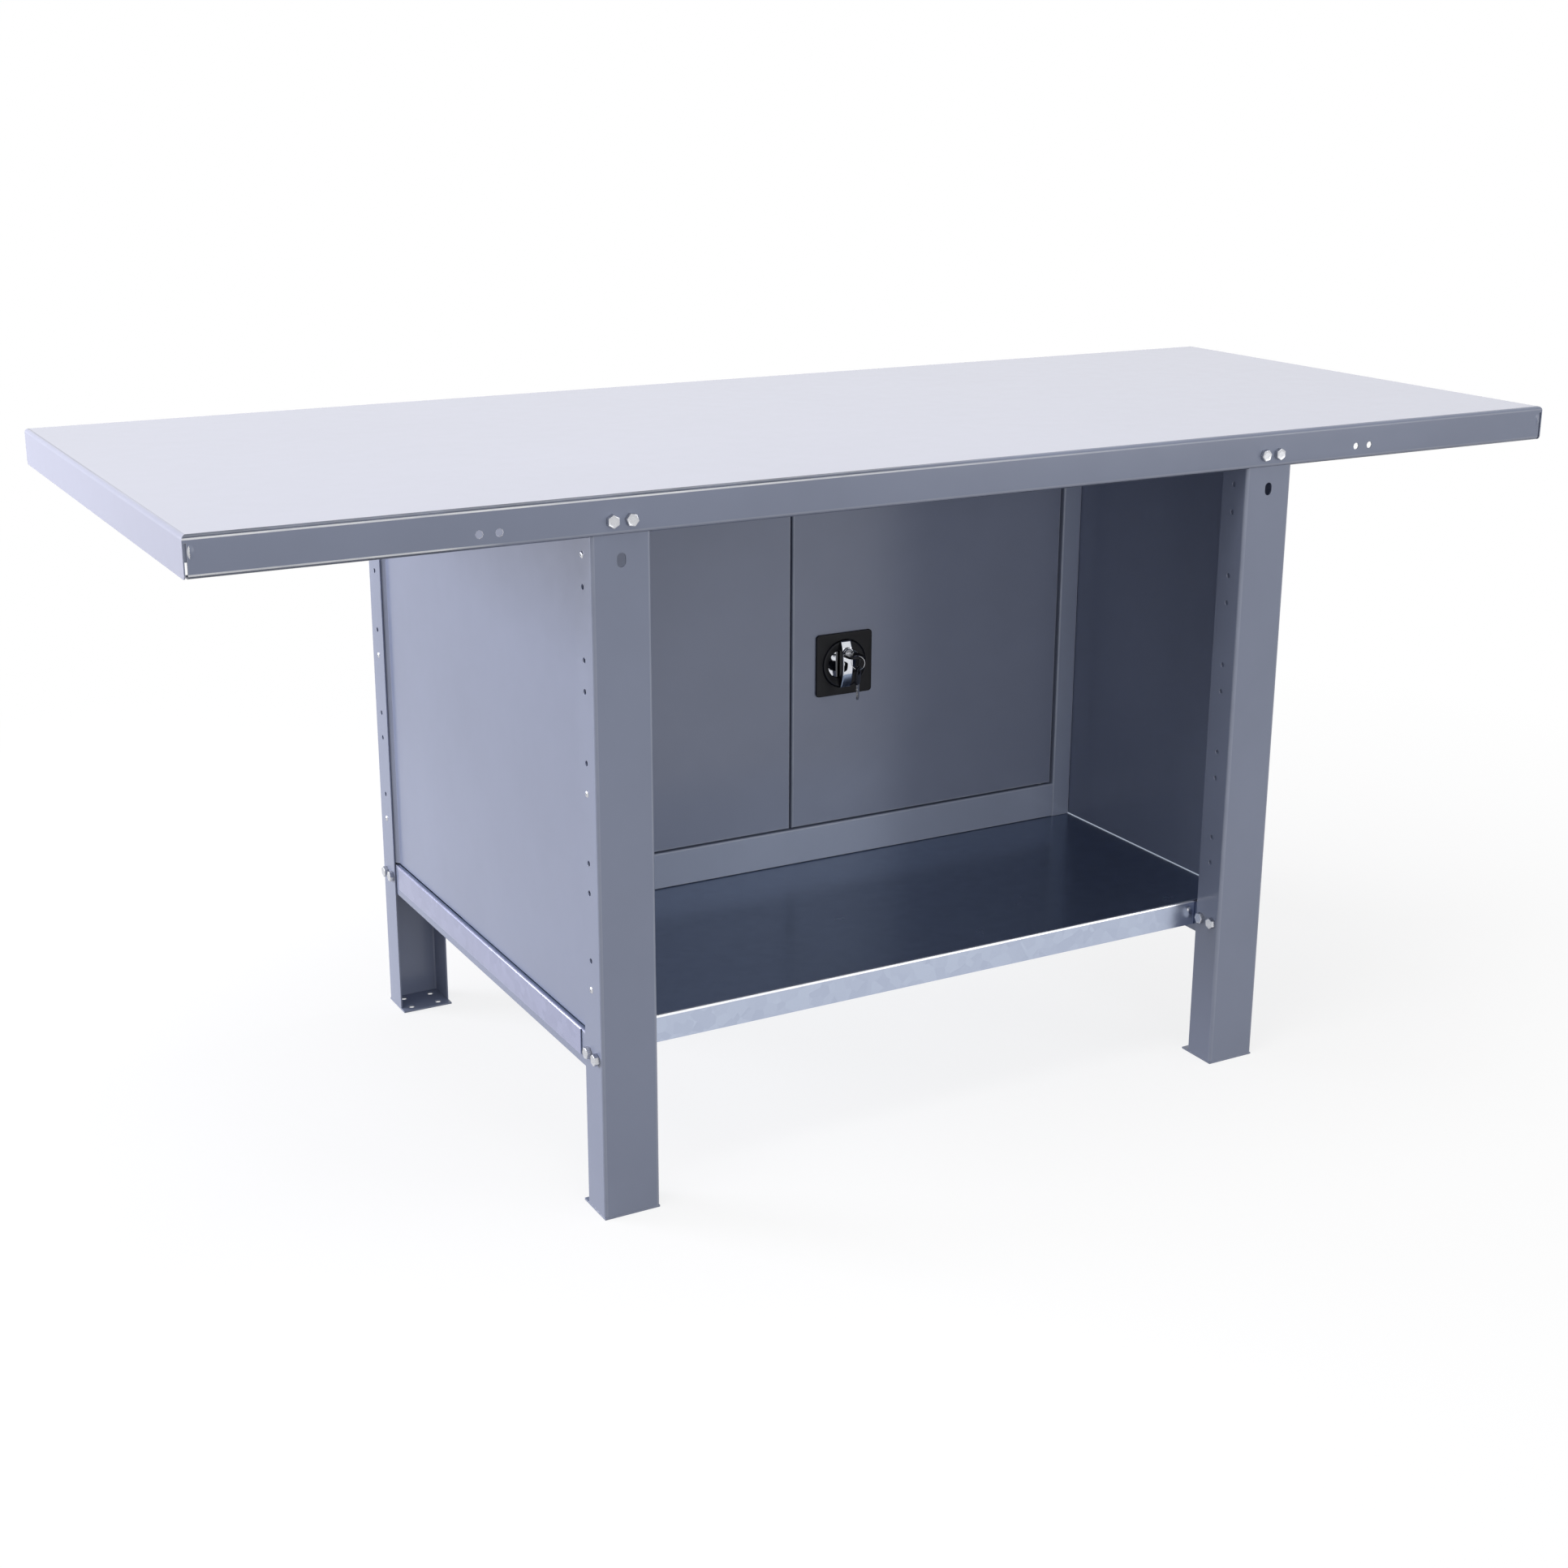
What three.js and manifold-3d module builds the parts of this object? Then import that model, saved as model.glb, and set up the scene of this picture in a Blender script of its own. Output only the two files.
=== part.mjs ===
// Steel workbench with a recessed two-door cabinet between its leg frames.
// Millimetres, +Z up, front towards -Y. The origin is on the floor under the middle of the top.
import * as THREE from 'three';
import { mergeVertices } from 'three/addons/utils/BufferGeometryUtils.js';
import Module from 'manifold-3d';

// Driving dimensions of the bench
const TOP_LENGTH = 1800;
const TOP_DEPTH = 730;
const BENCH_HEIGHT = 840;
const FRAME_LENGTH = 950; // across the outer faces of the two leg frames
const SHELF_TOP = 217.5;
const CABINET_SETBACK = 420; // front of the top to the front of the doors

// Clearances
const FIT = 0.3; // between pieces that rest on or in each other
const BOLT_PLAY = 0.4; // round a shank in its hole
const CUT = 5; // how far a cutting tool runs past a face

// Worktop, one sheet folded down on four sides
const TOP_SHEET = 1.5;
const TOP_BEND = 5; // outside radius
const APRON_HEIGHT = 44;
const APRON_RETURN = 18;
const CORNER_SLIT = 2.5;
const CORNER_WELD = 3; // closed length of a corner below its bend
const NOTCH_PLAY = 1; // beside a leg in the apron's return
const SPARE_HOLE_STEP = 148; // leg centre to the spare hole pair outside it

// Stiffeners under the two overhangs
const STIFFENER_SHEET = 1.5;
const STIFFENER_BEND = 3;
const STIFFENER_HEIGHT = 26;
const STIFFENER_CROWN = 40;
const STIFFENER_SLOPE = 6;
const STIFFENER_FLANGE = 20;

// Legs and feet
const LEG_WIDTH = 70;
const LEG_FLANGE = 45;
const LEG_SHEET = 2;
const LEG_BEND = 4;
const FOOT_SHEET = 2.5;
const FOOT_DEPTH = 58;
const FOOT_HOLE = 9;
const FOOT_HOLE_SPAN_X = 39;
const FOOT_HOLE_SPAN_Y = 32;
const SLOT_WIDTH = 10.5;
const SLOT_LENGTH = 16;
const SLOT_DROP = 71; // top of the bench to the middle of the slot
const PANEL_HOLE = 6.5;
const PANEL_HOLE_INSET = 24.2; // leg face to the holes in its flanges
const PANEL_HOLE_PITCH = 115.5;
const PANEL_HOLE_PAIR = 35;
const PANEL_HOLE_ROWS = 5;

// Fasteners
const BOLT_SIZE = 8;
const BOLT_FLATS = 13;
const BOLT_HEAD = 5.3;
const NUT_HEIGHT = 6.8;
const BOLT_TAIL = 3; // thread past the nut
const BOLT_PAIR = 22;
const APRON_BOLT_DROP = 28;
const RAIL_BOLT_DROP = 21; // shelf surface to the bolts of the cross rails

// Cross rails, shelf and panels
const RAIL_SHEET = 2;
const RAIL_BEND = 4;
const RAIL_HEIGHT = 43;
const SHELF_SHEET = 1.2;
const SHELF_BEND = 3;
const SHELF_LIP = 33.5;
const SHELF_SETBACK = 3; // leg flange to the shelf's lip
const SHELF_END_INSET = 0.5; // leg frame's outer face to the shelf's end
const SHELF_NOTCH = 12;
const PANEL_SHEET = 1.2;
const PANEL_BEND = 2.4;
const PANEL_INSET = 6.5; // leg's outer face to the panel's field
const PANEL_SEAT = 34; // width of the strip behind a leg flange
const PANEL_JOGGLE = 6; // run of the step beside a seat
const PANEL_LIFT = 4.5; // slit over the shelf
const PANEL_HEADROOM = 2.5; // slit under the top
const BACK_FLANGE = 28;
const BACK_LAP = 10; // how far the back panel covers the shelf's rear lip

// Cabinet front
const FRONT_SHEET = 1.2;
const FRONT_BEND = 2.4;
const FRONT_RETURN = 28;
const POST_WIDTH = 30;
const BASE_RAIL_HEIGHT = 50.5;
const TOP_RAIL_HEIGHT = 66;
const DOOR_SHEET = 1;
const DOOR_BEND = 2.5;
const DOOR_DEPTH = 20;
const DOOR_LIP = 12;
const DOOR_SIDE_GAP = 5.5;
const DOOR_END_GAP = 2.5; // over and under a door
const DOOR_MEETING_GAP = 3;
const PIVOT_INSET = 11.5; // door's outer edge to its hinge axis
const PIVOT_DEPTH = 10; // door's face to its hinge axis
const PIN_DIAMETER = 6;
const PIN_COLLAR = 11;
const PIN_REACH = 12; // into the door and into the rail

// Lock
const LOCK_FROM_EDGE = 78.5; // right door's free edge to the lock's axis
const LOCK_HEIGHT = 494;
const PLATE_SIZE = 86;
const PLATE_CORNER = 5;
const PLATE_THICKNESS = 3.2;
const SLEEVE_WALL = 1.8;
const SLEEVE_DEPTH = 9;
const SLEEVE_LEDGE = 5;
const ROTOR_DIAMETER = 66;
const ROTOR_FRONT = 4.5; // rotor's front over the door's face
const ROTOR_FLOOR = 1;
const ROTOR_CHAMFER = 1.2;
const WINDOW_WIDTH = 43.5; // the rotor's window for the fingers, round at both ends
const WINDOW_HEIGHT = 27.5;
const WINDOW_STEPS = 8;
const BOSS_CROWN = 4.4; // top of the chrome boss in the window, over the door's face
const BOSS_CURVE = 60; // radius of the boss's front
const BOSS_STEPS = 5;
const HANDLE_WIDTH = 16;
const HANDLE_LENGTH = 65;
const HANDLE_END = 7; // front of the handle's ends over the door's face
const HANDLE_CROWN = 14.5;
const PLUG_DIAMETER = 12;
const PLUG_OFFSET = 16; // lock's axis to the plug's axis
const PLUG_FRONT = 14.6;
const KEY_BLADE_WIDTH = 8;
const KEY_BLADE_SHEET = 2.2;
const KEY_BLADE_TIP = 7;
const KEY_BOW_START = 16.4;
const KEY_BOW_LENGTH = 24;
const KEY_BOW_WIDTH = 24;
const KEY_BOW_SHEET = 3;
const KEY_BOW_CORNER = 8;
const KEY_HOLE_WIDTH = 15;
const KEY_HOLE_HEIGHT = 7.5;
const KEY_BRIDGE = 2.4; // between the key's hole and its end
const SPARE_BLADE_LENGTH = 21;
const RING_DIAMETER = 18.8; // to the middle of the wire
const RING_WIRE = 1.8;
const RING_TURN = THREE.MathUtils.degToRad(45);

// Lock works behind the right door's face
const SPINDLE_DIAMETER = 11.4;
const CAM_DIAMETER = 28;
const CAM_SHEET = 2.5;
const CAM_GAP = 1; // sleeve to cam
const CRANK_RADIUS = 9;
const CRANK_PIN = 5;
const ROD_WIDTH = 10;
const ROD_SHEET = 2;
const ROD_GAP = 0.5; // between cam, upper rod and lower rod
const YOKE_PLAY = 2.2; // above and below a crank pin
const YOKE_FRAME = 2.8;
const YOKE_PAST_AXIS = 4.5;

// How finely round shapes are cut
const BEND_STEPS = 2; // half the facets of an arc
const HOLE_SIDES = 8;
const PIN_SIDES = 12;
const LOCK_SIDES = 32;
const ARCH_STEPS = 8;
const RING_STEPS = 20;
const WIRE_SIDES = 6;
const WELD = 1e-4;

// Places worked out from the driving dimensions
const LEG_FACE = TOP_DEPTH / 2 - TOP_SHEET - FIT;
const LEG_CENTRE = (FRAME_LENGTH - LEG_WIDTH) / 2;
const LEG_TOP = BENCH_HEIGHT - TOP_BEND - FIT;
const APRON_BOLT_HEIGHT = BENCH_HEIGHT - APRON_BOLT_DROP;
const RAIL_BOLT_HEIGHT = SHELF_TOP - RAIL_BOLT_DROP;
const RAIL_WIDTH = LEG_WIDTH - 2 * LEG_SHEET - 2 * FIT;
const RAIL_TOP = SHELF_TOP - SHELF_SHEET - FIT;
const RAIL_END = LEG_FACE - LEG_BEND - FIT;
const SHELF_LENGTH = FRAME_LENGTH - 2 * SHELF_END_INSET;
const SHELF_DEPTH = 2 * (LEG_FACE - LEG_FLANGE - SHELF_SETBACK);
const PANEL_TOP = BENCH_HEIGHT - TOP_SHEET - PANEL_HEADROOM;
const PANEL_BOTTOM = SHELF_TOP + PANEL_LIFT;
const PANEL_INSIDE = FRAME_LENGTH / 2 - PANEL_INSET - PANEL_SHEET;
const CABINET_Y = -TOP_DEPTH / 2 + CABINET_SETBACK;
const POST_OUTSIDE = PANEL_INSIDE - FIT;
const POST_INSIDE = POST_OUTSIDE - POST_WIDTH;
const BASE_RAIL_TOP = SHELF_TOP + BASE_RAIL_HEIGHT;
const TOP_RAIL_BOTTOM = PANEL_TOP - TOP_RAIL_HEIGHT;
const DOOR_BOTTOM = BASE_RAIL_TOP + DOOR_END_GAP;
const DOOR_TOP = TOP_RAIL_BOTTOM - DOOR_END_GAP;
const DOOR_HEIGHT = DOOR_TOP - DOOR_BOTTOM;
const DOOR_MIDDLE = (DOOR_TOP + DOOR_BOTTOM) / 2;
const DOOR_OUTSIDE = POST_INSIDE - DOOR_SIDE_GAP;
const DOOR_WIDTH = DOOR_OUTSIDE - DOOR_MEETING_GAP / 2;
const DOOR_CENTRE = (DOOR_OUTSIDE + DOOR_MEETING_GAP / 2) / 2;
const HINGE_X = DOOR_OUTSIDE - PIVOT_INSET;
const HINGE_Y = CABINET_Y + PIVOT_DEPTH;
const LOCK_X = DOOR_MEETING_GAP / 2 + LOCK_FROM_EDGE;
const ROTOR_RADIUS = ROTOR_DIAMETER / 2;
const SLEEVE_RADIUS = ROTOR_RADIUS + FIT + SLEEVE_WALL;
const ROTOR_BACK = -SLEEVE_DEPTH + ROTOR_FLOOR + FIT;
const WINDOW_BACK = ROTOR_BACK + ROTOR_FLOOR;
const HANDLE_SEAT = ROTOR_FRONT + FIT;
const PLUG_BACK = HANDLE_SEAT;
const CAM_FRONT = -SLEEVE_DEPTH - CAM_GAP;
const CAM_BACK = CAM_FRONT - CAM_SHEET;
const UPPER_ROD_FRONT = CAM_BACK - ROD_GAP;
const LOWER_ROD_FRONT = UPPER_ROD_FRONT - ROD_SHEET - ROD_GAP;
const YOKE_OUTER = CRANK_RADIUS + CRANK_PIN / 2 + FIT + YOKE_FRAME;
const YOKE_HALF_HEIGHT = CRANK_PIN / 2 + YOKE_PLAY + YOKE_FRAME;
const ROD_OFFSET = (YOKE_OUTER - YOKE_PAST_AXIS) / 2; // lock's axis to the middle of a rod
const BRIDGE_MIDDLE = KEY_BOW_START + KEY_BOW_LENGTH - KEY_BRIDGE / 2;
const RING_DROP = KEY_BOW_SHEET / 2 + FIT + RING_WIRE / 2 - RING_DIAMETER / 2;

const SIDES = [['left', -1], ['right', 1]];
const ENDS = [['front', -1], ['rear', 1]];
const LEVELS = [['lower', -1], ['upper', 1]];

const wasm = await Module();
wasm.setup();

// Finishes
const finish = (color, roughness, metalness) =>
  new THREE.MeshStandardMaterial({ color, roughness, metalness });
const PAINT = finish('#7b8495', 0.4, 0.1);
const GALVANISED = finish('#aab4c6', 0.35, 0.9);
const ZINC = finish('#c9ccd2', 0.3, 0.95);
const CHROME = finish('#dfe3ea', 0.08, 1);
const BLACK_PLASTIC = finish('#17181b', 0.45, 0);
const STEEL = finish('#9a9ea6', 0.35, 0.9);

// A three.js geometry as a solid for boolean work
function solidOf(geometry) {
  const bare = new THREE.BufferGeometry();
  bare.setAttribute('position', geometry.getAttribute('position'));
  bare.setIndex(geometry.index);
  const welded = mergeVertices(bare, WELD);
  const mesh = new wasm.Mesh({
    numProp: 3,
    vertProperties: new Float32Array(welded.getAttribute('position').array),
    triVerts: new Uint32Array(welded.index.array),
  });
  mesh.merge();
  return new wasm.Manifold(mesh);
}

// A solid back as a three.js geometry
function geometryOf(solid) {
  const mesh = solid.getMesh();
  const geometry = new THREE.BufferGeometry();
  geometry.setAttribute('position', new THREE.BufferAttribute(mesh.vertProperties, 3));
  geometry.setIndex(new THREE.BufferAttribute(mesh.triVerts, 1));
  geometry.computeVertexNormals();
  return geometry;
}

const join = (solids) => wasm.Manifold.union(solids);
const cut = (solid, tools) => solid.subtract(join(tools));

// A solid and its mirror images in the other three corners
function fourCorners(solid) {
  const pair = [solid, solid.mirror([1, 0, 0])];
  return [...pair, ...pair.map((one) => one.mirror([0, 1, 0]))];
}

function block(x0, x1, y0, y1, z0, z1) {
  const geometry = new THREE.BoxGeometry(x1 - x0, y1 - y0, z1 - z0);
  geometry.translate((x0 + x1) / 2, (y0 + y1) / 2, (z0 + z1) / 2);
  return solidOf(geometry);
}

// Where an outline's two directions and its sweep point, for a sweep along each axis
const SWEEPS = {
  x: new THREE.Matrix4().makeBasis(
    new THREE.Vector3(0, 1, 0), new THREE.Vector3(0, 0, 1), new THREE.Vector3(1, 0, 0)),
  y: new THREE.Matrix4().makeBasis(
    new THREE.Vector3(1, 0, 0), new THREE.Vector3(0, 0, 1), new THREE.Vector3(0, -1, 0)),
  z: new THREE.Matrix4(),
};

// An outline in the plane across an axis, swept along that axis from one place to another
function sweep(shape, axis, from, to, curveSegments = BEND_STEPS) {
  const depth = to - from;
  const geometry = new THREE.ExtrudeGeometry(shape, { depth, curveSegments, bevelEnabled: false });
  geometry.translate(0, 0, axis === 'y' ? -to : from);
  geometry.applyMatrix4(SWEEPS[axis]);
  return solidOf(geometry);
}

function discOutline(radius, u = 0, v = 0) {
  return new THREE.Shape().absarc(u, v, radius, 0, 2 * Math.PI);
}

// A round bar whose middle is at u, v in the plane across its axis
function bar(diameter, axis, u, v, from, to, sides = HOLE_SIDES) {
  return sweep(discOutline(diameter / 2, u, v), axis, from, to, sides / 2);
}

// A rectangle whose upper and lower corners have their own radii
function roundedOutline(u0, u1, v0, v1, upper, lower) {
  const shape = new THREE.Shape();
  const corner = (u, v, radius, start) => {
    if (radius > 0) shape.absarc(u, v, radius, start, start + Math.PI / 2);
    else shape.lineTo(u, v);
  };
  shape.moveTo(u0 + lower, v0);
  corner(u1 - lower, v0 + lower, lower, -Math.PI / 2);
  corner(u1 - upper, v1 - upper, upper, 0);
  corner(u0 + upper, v1 - upper, upper, Math.PI / 2);
  corner(u0 + lower, v0 + lower, lower, Math.PI);
  return shape;
}

// The outline of a bent sheet. The path runs along the middle of the sheet, and bends are arcs.
function sheetOutline(path, sheet, bend) {
  const points = path.map(([u, v]) => new THREE.Vector2(u, v));
  const headings = points.slice(1).map((point, i) => point.clone().sub(points[i]).normalize());
  const normals = headings.map((heading) => new THREE.Vector2(-heading.y, heading.x));
  const middle = bend - sheet / 2;
  const bends = headings.slice(1).map((heading, i) => {
    const turn = Math.sign(headings[i].cross(heading));
    const angle = Math.acos(THREE.MathUtils.clamp(headings[i].dot(heading), -1, 1));
    const centre = points[i + 1].clone()
      .addScaledVector(headings[i], -middle * Math.tan(angle / 2))
      .addScaledVector(normals[i], turn * middle);
    const start = normals[i].clone().multiplyScalar(-turn).angle();
    const end = normals[i + 1].clone().multiplyScalar(-turn).angle();
    return { centre, turn, start, end };
  });
  const edge = (i, normal, side) => points[i].clone().addScaledVector(normal, (side * sheet) / 2);
  const last = points.length - 1;
  const shape = new THREE.Shape();
  const inner = edge(0, normals[0], -1);
  const outer = edge(0, normals[0], 1);
  shape.moveTo(inner.x, inner.y);
  shape.lineTo(outer.x, outer.y);
  for (const { centre, turn, start, end } of bends) {
    shape.absarc(centre.x, centre.y, middle - (turn * sheet) / 2, start, end, turn < 0);
  }
  for (const side of [1, -1]) {
    const tip = edge(last, normals.at(-1), side);
    shape.lineTo(tip.x, tip.y);
  }
  for (const { centre, turn, start, end } of bends.toReversed()) {
    shape.absarc(centre.x, centre.y, middle + (turn * sheet) / 2, end, start, turn > 0);
  }
  return shape;
}

// A sheet folded down on four sides, face up at z = 0. The long walls and the end walls can each
// turn in again at the bottom by a lip.
function foldedTray({ length, width, height, sheet, bend, longLip = 0, endLip = 0 }) {
  const prism = (inset) => {
    const radius = bend - inset;
    const bottom = (lip) => (lip > 0 || inset === 0 ? -height + inset : -height - CUT);
    const side = (half, lip) => roundedOutline(
      -half + inset, half - inset, bottom(lip), -inset, radius, lip > 0 ? radius : 0);
    const along = sweep(side(width / 2, longLip), 'x', -length / 2 + inset, length / 2 - inset);
    const across = sweep(side(length / 2, endLip), 'y', -width / 2 + inset, width / 2 - inset);
    return along.intersect(across);
  };
  const reachX = length / 2 - (endLip || sheet);
  const reachY = width / 2 - (longLip || sheet);
  const mouth = block(-reachX, reachX, -reachY, reachY, -height - CUT, -height + bend);
  return cut(prism(0), [prism(sheet), mouth]);
}

// A profile of radius and height pairs, turned round Z
function turned(profile, sides = LOCK_SIDES) {
  const points = profile.map(([radius, height]) => new THREE.Vector2(radius, height));
  if (THREE.ShapeUtils.area(points) < 0) points.reverse();
  const geometry = new THREE.LatheGeometry([...points, points[0]], sides);
  geometry.rotateX(Math.PI / 2);
  return solidOf(geometry);
}

// A named mesh of one solid
function part(name, solid, material) {
  const mesh = new THREE.Mesh(geometryOf(solid), material);
  mesh.name = name;
  return mesh;
}

// Heights of the holes in a leg's flanges
function panelHoleHeights() {
  const heights = [];
  for (let row = 1; row <= PANEL_HOLE_ROWS; row += 1) {
    const upper = RAIL_BOLT_HEIGHT + row * PANEL_HOLE_PITCH;
    heights.push(upper, upper - PANEL_HOLE_PAIR);
  }
  return heights;
}

// The two bolts of a leg flange lie on either side of its panel holes
const railBoltInsets = [-1, 1].map((side) => PANEL_HOLE_INSET + (side * BOLT_PAIR) / 2);
const apronBoltOffsets = [-1, 1].map((side) => (side * BOLT_PAIR) / 2);

function worktop() {
  const tray = foldedTray({
    length: TOP_LENGTH,
    width: TOP_DEPTH,
    height: APRON_HEIGHT,
    sheet: TOP_SHEET,
    bend: TOP_BEND,
    longLip: APRON_RETURN,
  });
  const slitEnd = TOP_LENGTH / 2 - TOP_SHEET;
  const notch = LEG_WIDTH / 2 + NOTCH_PLAY;
  const returnEdge = TOP_DEPTH / 2 - APRON_RETURN - CUT;
  const slit = block(
    slitEnd - CORNER_SLIT, slitEnd, returnEdge, TOP_DEPTH / 2 + CUT,
    -APRON_HEIGHT - CUT, -TOP_BEND - CORNER_WELD);
  const legNotch = block(
    LEG_CENTRE - notch, LEG_CENTRE + notch, returnEdge, TOP_DEPTH / 2 - TOP_SHEET,
    -APRON_HEIGHT - CUT, -APRON_HEIGHT + TOP_BEND + CUT / 2);
  const tools = [...fourCorners(slit), ...fourCorners(legNotch)];
  const reach = TOP_DEPTH / 2 + CUT;
  for (const side of [-1, 1]) {
    for (const centre of [LEG_CENTRE, LEG_CENTRE + SPARE_HOLE_STEP]) {
      for (const offset of apronBoltOffsets) {
        const hole = BOLT_SIZE + 2 * BOLT_PLAY;
        tools.push(bar(hole, 'y', side * centre + offset, -APRON_BOLT_DROP, -reach, reach));
      }
    }
  }
  return cut(tray, tools);
}

function topStiffener() {
  const top = -TOP_SHEET - FIT - STIFFENER_SHEET / 2;
  const bottom = top - STIFFENER_HEIGHT + STIFFENER_SHEET;
  const crown = STIFFENER_CROWN / 2;
  const half = [
    [crown, bottom],
    [crown + STIFFENER_SLOPE, top],
    [crown + STIFFENER_SLOPE + STIFFENER_FLANGE, top],
  ];
  const mirrored = half.map(([x, z]) => [-x, z]).toReversed();
  const end = TOP_DEPTH / 2 - TOP_BEND - FIT;
  return sweep(sheetOutline([...mirrored, ...half], STIFFENER_SHEET, STIFFENER_BEND), 'y', -end, end);
}

// A leg stands with the middle of its web's outer face at the origin, and opens towards +Y
function leg() {
  const side = (LEG_WIDTH - LEG_SHEET) / 2;
  const web = LEG_SHEET / 2;
  const path = [[-side, LEG_FLANGE], [-side, web], [side, web], [side, LEG_FLANGE]];
  const channel = sweep(sheetOutline(path, LEG_SHEET, LEG_BEND), 'z', FOOT_SHEET, LEG_TOP);
  const slotRadius = SLOT_WIDTH / 2;
  const slotMiddle = BENCH_HEIGHT - SLOT_DROP;
  const slot = roundedOutline(
    -slotRadius, slotRadius, slotMiddle - SLOT_LENGTH / 2, slotMiddle + SLOT_LENGTH / 2,
    slotRadius, slotRadius);
  const reach = LEG_WIDTH / 2 + CUT;
  const boltHole = BOLT_SIZE + 2 * BOLT_PLAY;
  const tools = [sweep(slot, 'y', -CUT, LEG_SHEET + CUT)];
  for (const height of panelHoleHeights()) {
    tools.push(bar(PANEL_HOLE, 'x', PANEL_HOLE_INSET, height, -reach, reach));
  }
  for (const inset of railBoltInsets) {
    tools.push(bar(boltHole, 'x', inset, RAIL_BOLT_HEIGHT, -reach, reach));
  }
  for (const offset of apronBoltOffsets) {
    tools.push(bar(boltHole, 'y', offset, APRON_BOLT_HEIGHT, -CUT, LEG_SHEET + CUT));
  }
  return cut(channel, tools);
}

function footPlate() {
  const plate = block(-LEG_WIDTH / 2, LEG_WIDTH / 2, 0, FOOT_DEPTH, 0, FOOT_SHEET);
  const tools = [];
  for (const x of [-1, 1]) {
    for (const y of [-1, 1]) {
      const across = (x * FOOT_HOLE_SPAN_X) / 2;
      const along = (FOOT_DEPTH + y * FOOT_HOLE_SPAN_Y) / 2;
      tools.push(bar(FOOT_HOLE, 'z', across, along, -CUT, FOOT_SHEET + CUT));
    }
  }
  return cut(plate, tools);
}

// A hexagon bolt with its nut, head at the back of the origin and shank along +Z
function hexBolt(grip) {
  const hexagon = (from, to) => bar(BOLT_FLATS / Math.cos(Math.PI / 6), 'z', 0, 0, from, to, 6);
  const nutEnd = grip + FIT + NUT_HEIGHT;
  return join([
    hexagon(-FIT - BOLT_HEAD, -FIT),
    bar(BOLT_SIZE, 'z', 0, 0, -FIT - BOLT_HEAD / 2, nutEnd + BOLT_TAIL, PIN_SIDES),
    hexagon(grip + FIT, nutEnd),
  ]);
}

// The cross rail under the shelf, an inverted channel between the flanges of two legs
function crossRail() {
  const side = (RAIL_WIDTH - RAIL_SHEET) / 2;
  const top = RAIL_TOP - RAIL_SHEET / 2;
  const bottom = RAIL_TOP - RAIL_HEIGHT;
  const path = [[-side, bottom], [-side, top], [side, top], [side, bottom]];
  const channel = sweep(sheetOutline(path, RAIL_SHEET, RAIL_BEND), 'y', -RAIL_END, RAIL_END);
  const reach = LEG_WIDTH / 2;
  const tools = [];
  for (const inset of railBoltInsets) {
    for (const end of [-1, 1]) {
      const hole = BOLT_SIZE + 2 * BOLT_PLAY;
      tools.push(bar(hole, 'x', end * (LEG_FACE - inset), RAIL_BOLT_HEIGHT, -reach, reach));
    }
  }
  return cut(channel, tools);
}

function shelf() {
  const tray = foldedTray({
    length: SHELF_LENGTH,
    width: SHELF_DEPTH,
    height: SHELF_LIP,
    sheet: SHELF_SHEET,
    bend: SHELF_BEND,
  });
  const edge = SHELF_DEPTH / 2;
  const notch = block(
    LEG_CENTRE - RAIL_WIDTH / 2 - FIT, SHELF_LENGTH / 2 + CUT, edge - SHELF_NOTCH, edge + CUT,
    -SHELF_LIP - CUT, -SHELF_SHEET);
  return cut(tray, fourCorners(notch));
}

// The left side panel. Its edges step outwards to lie behind the leg flanges.
function sidePanel() {
  const field = -PANEL_INSIDE - PANEL_SHEET / 2;
  const seat = -FRAME_LENGTH / 2 + LEG_SHEET + FIT + PANEL_SHEET / 2;
  const flangeEdge = LEG_FACE - LEG_FLANGE;
  const half = [
    [field, flangeEdge - PANEL_JOGGLE],
    [seat, flangeEdge],
    [seat, flangeEdge + PANEL_SEAT],
  ];
  const mirrored = half.map(([x, y]) => [x, -y]).toReversed();
  return sweep(
    sheetOutline([...mirrored, ...half], PANEL_SHEET, PANEL_BEND), 'z', PANEL_BOTTOM, PANEL_TOP);
}

// The back panel, face forward, with flanges back along the rear legs' inner flanges
function backPanel() {
  return foldedTray({
    length: FRAME_LENGTH - 2 * LEG_WIDTH - 2 * FIT,
    width: PANEL_TOP - SHELF_TOP + BACK_LAP,
    height: BACK_FLANGE,
    sheet: PANEL_SHEET,
    bend: PANEL_BEND,
  });
}

// The left post of the cabinet front, a channel open to the back
function cabinetPost() {
  const outside = -POST_OUTSIDE + FRONT_SHEET / 2;
  const inside = -POST_INSIDE - FRONT_SHEET / 2;
  const face = CABINET_Y + FRONT_SHEET / 2;
  const back = CABINET_Y + FRONT_RETURN;
  const path = [[outside, back], [outside, face], [inside, face], [inside, back]];
  return sweep(sheetOutline(path, FRONT_SHEET, FRONT_BEND), 'z', SHELF_TOP + FIT, PANEL_TOP);
}

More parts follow.
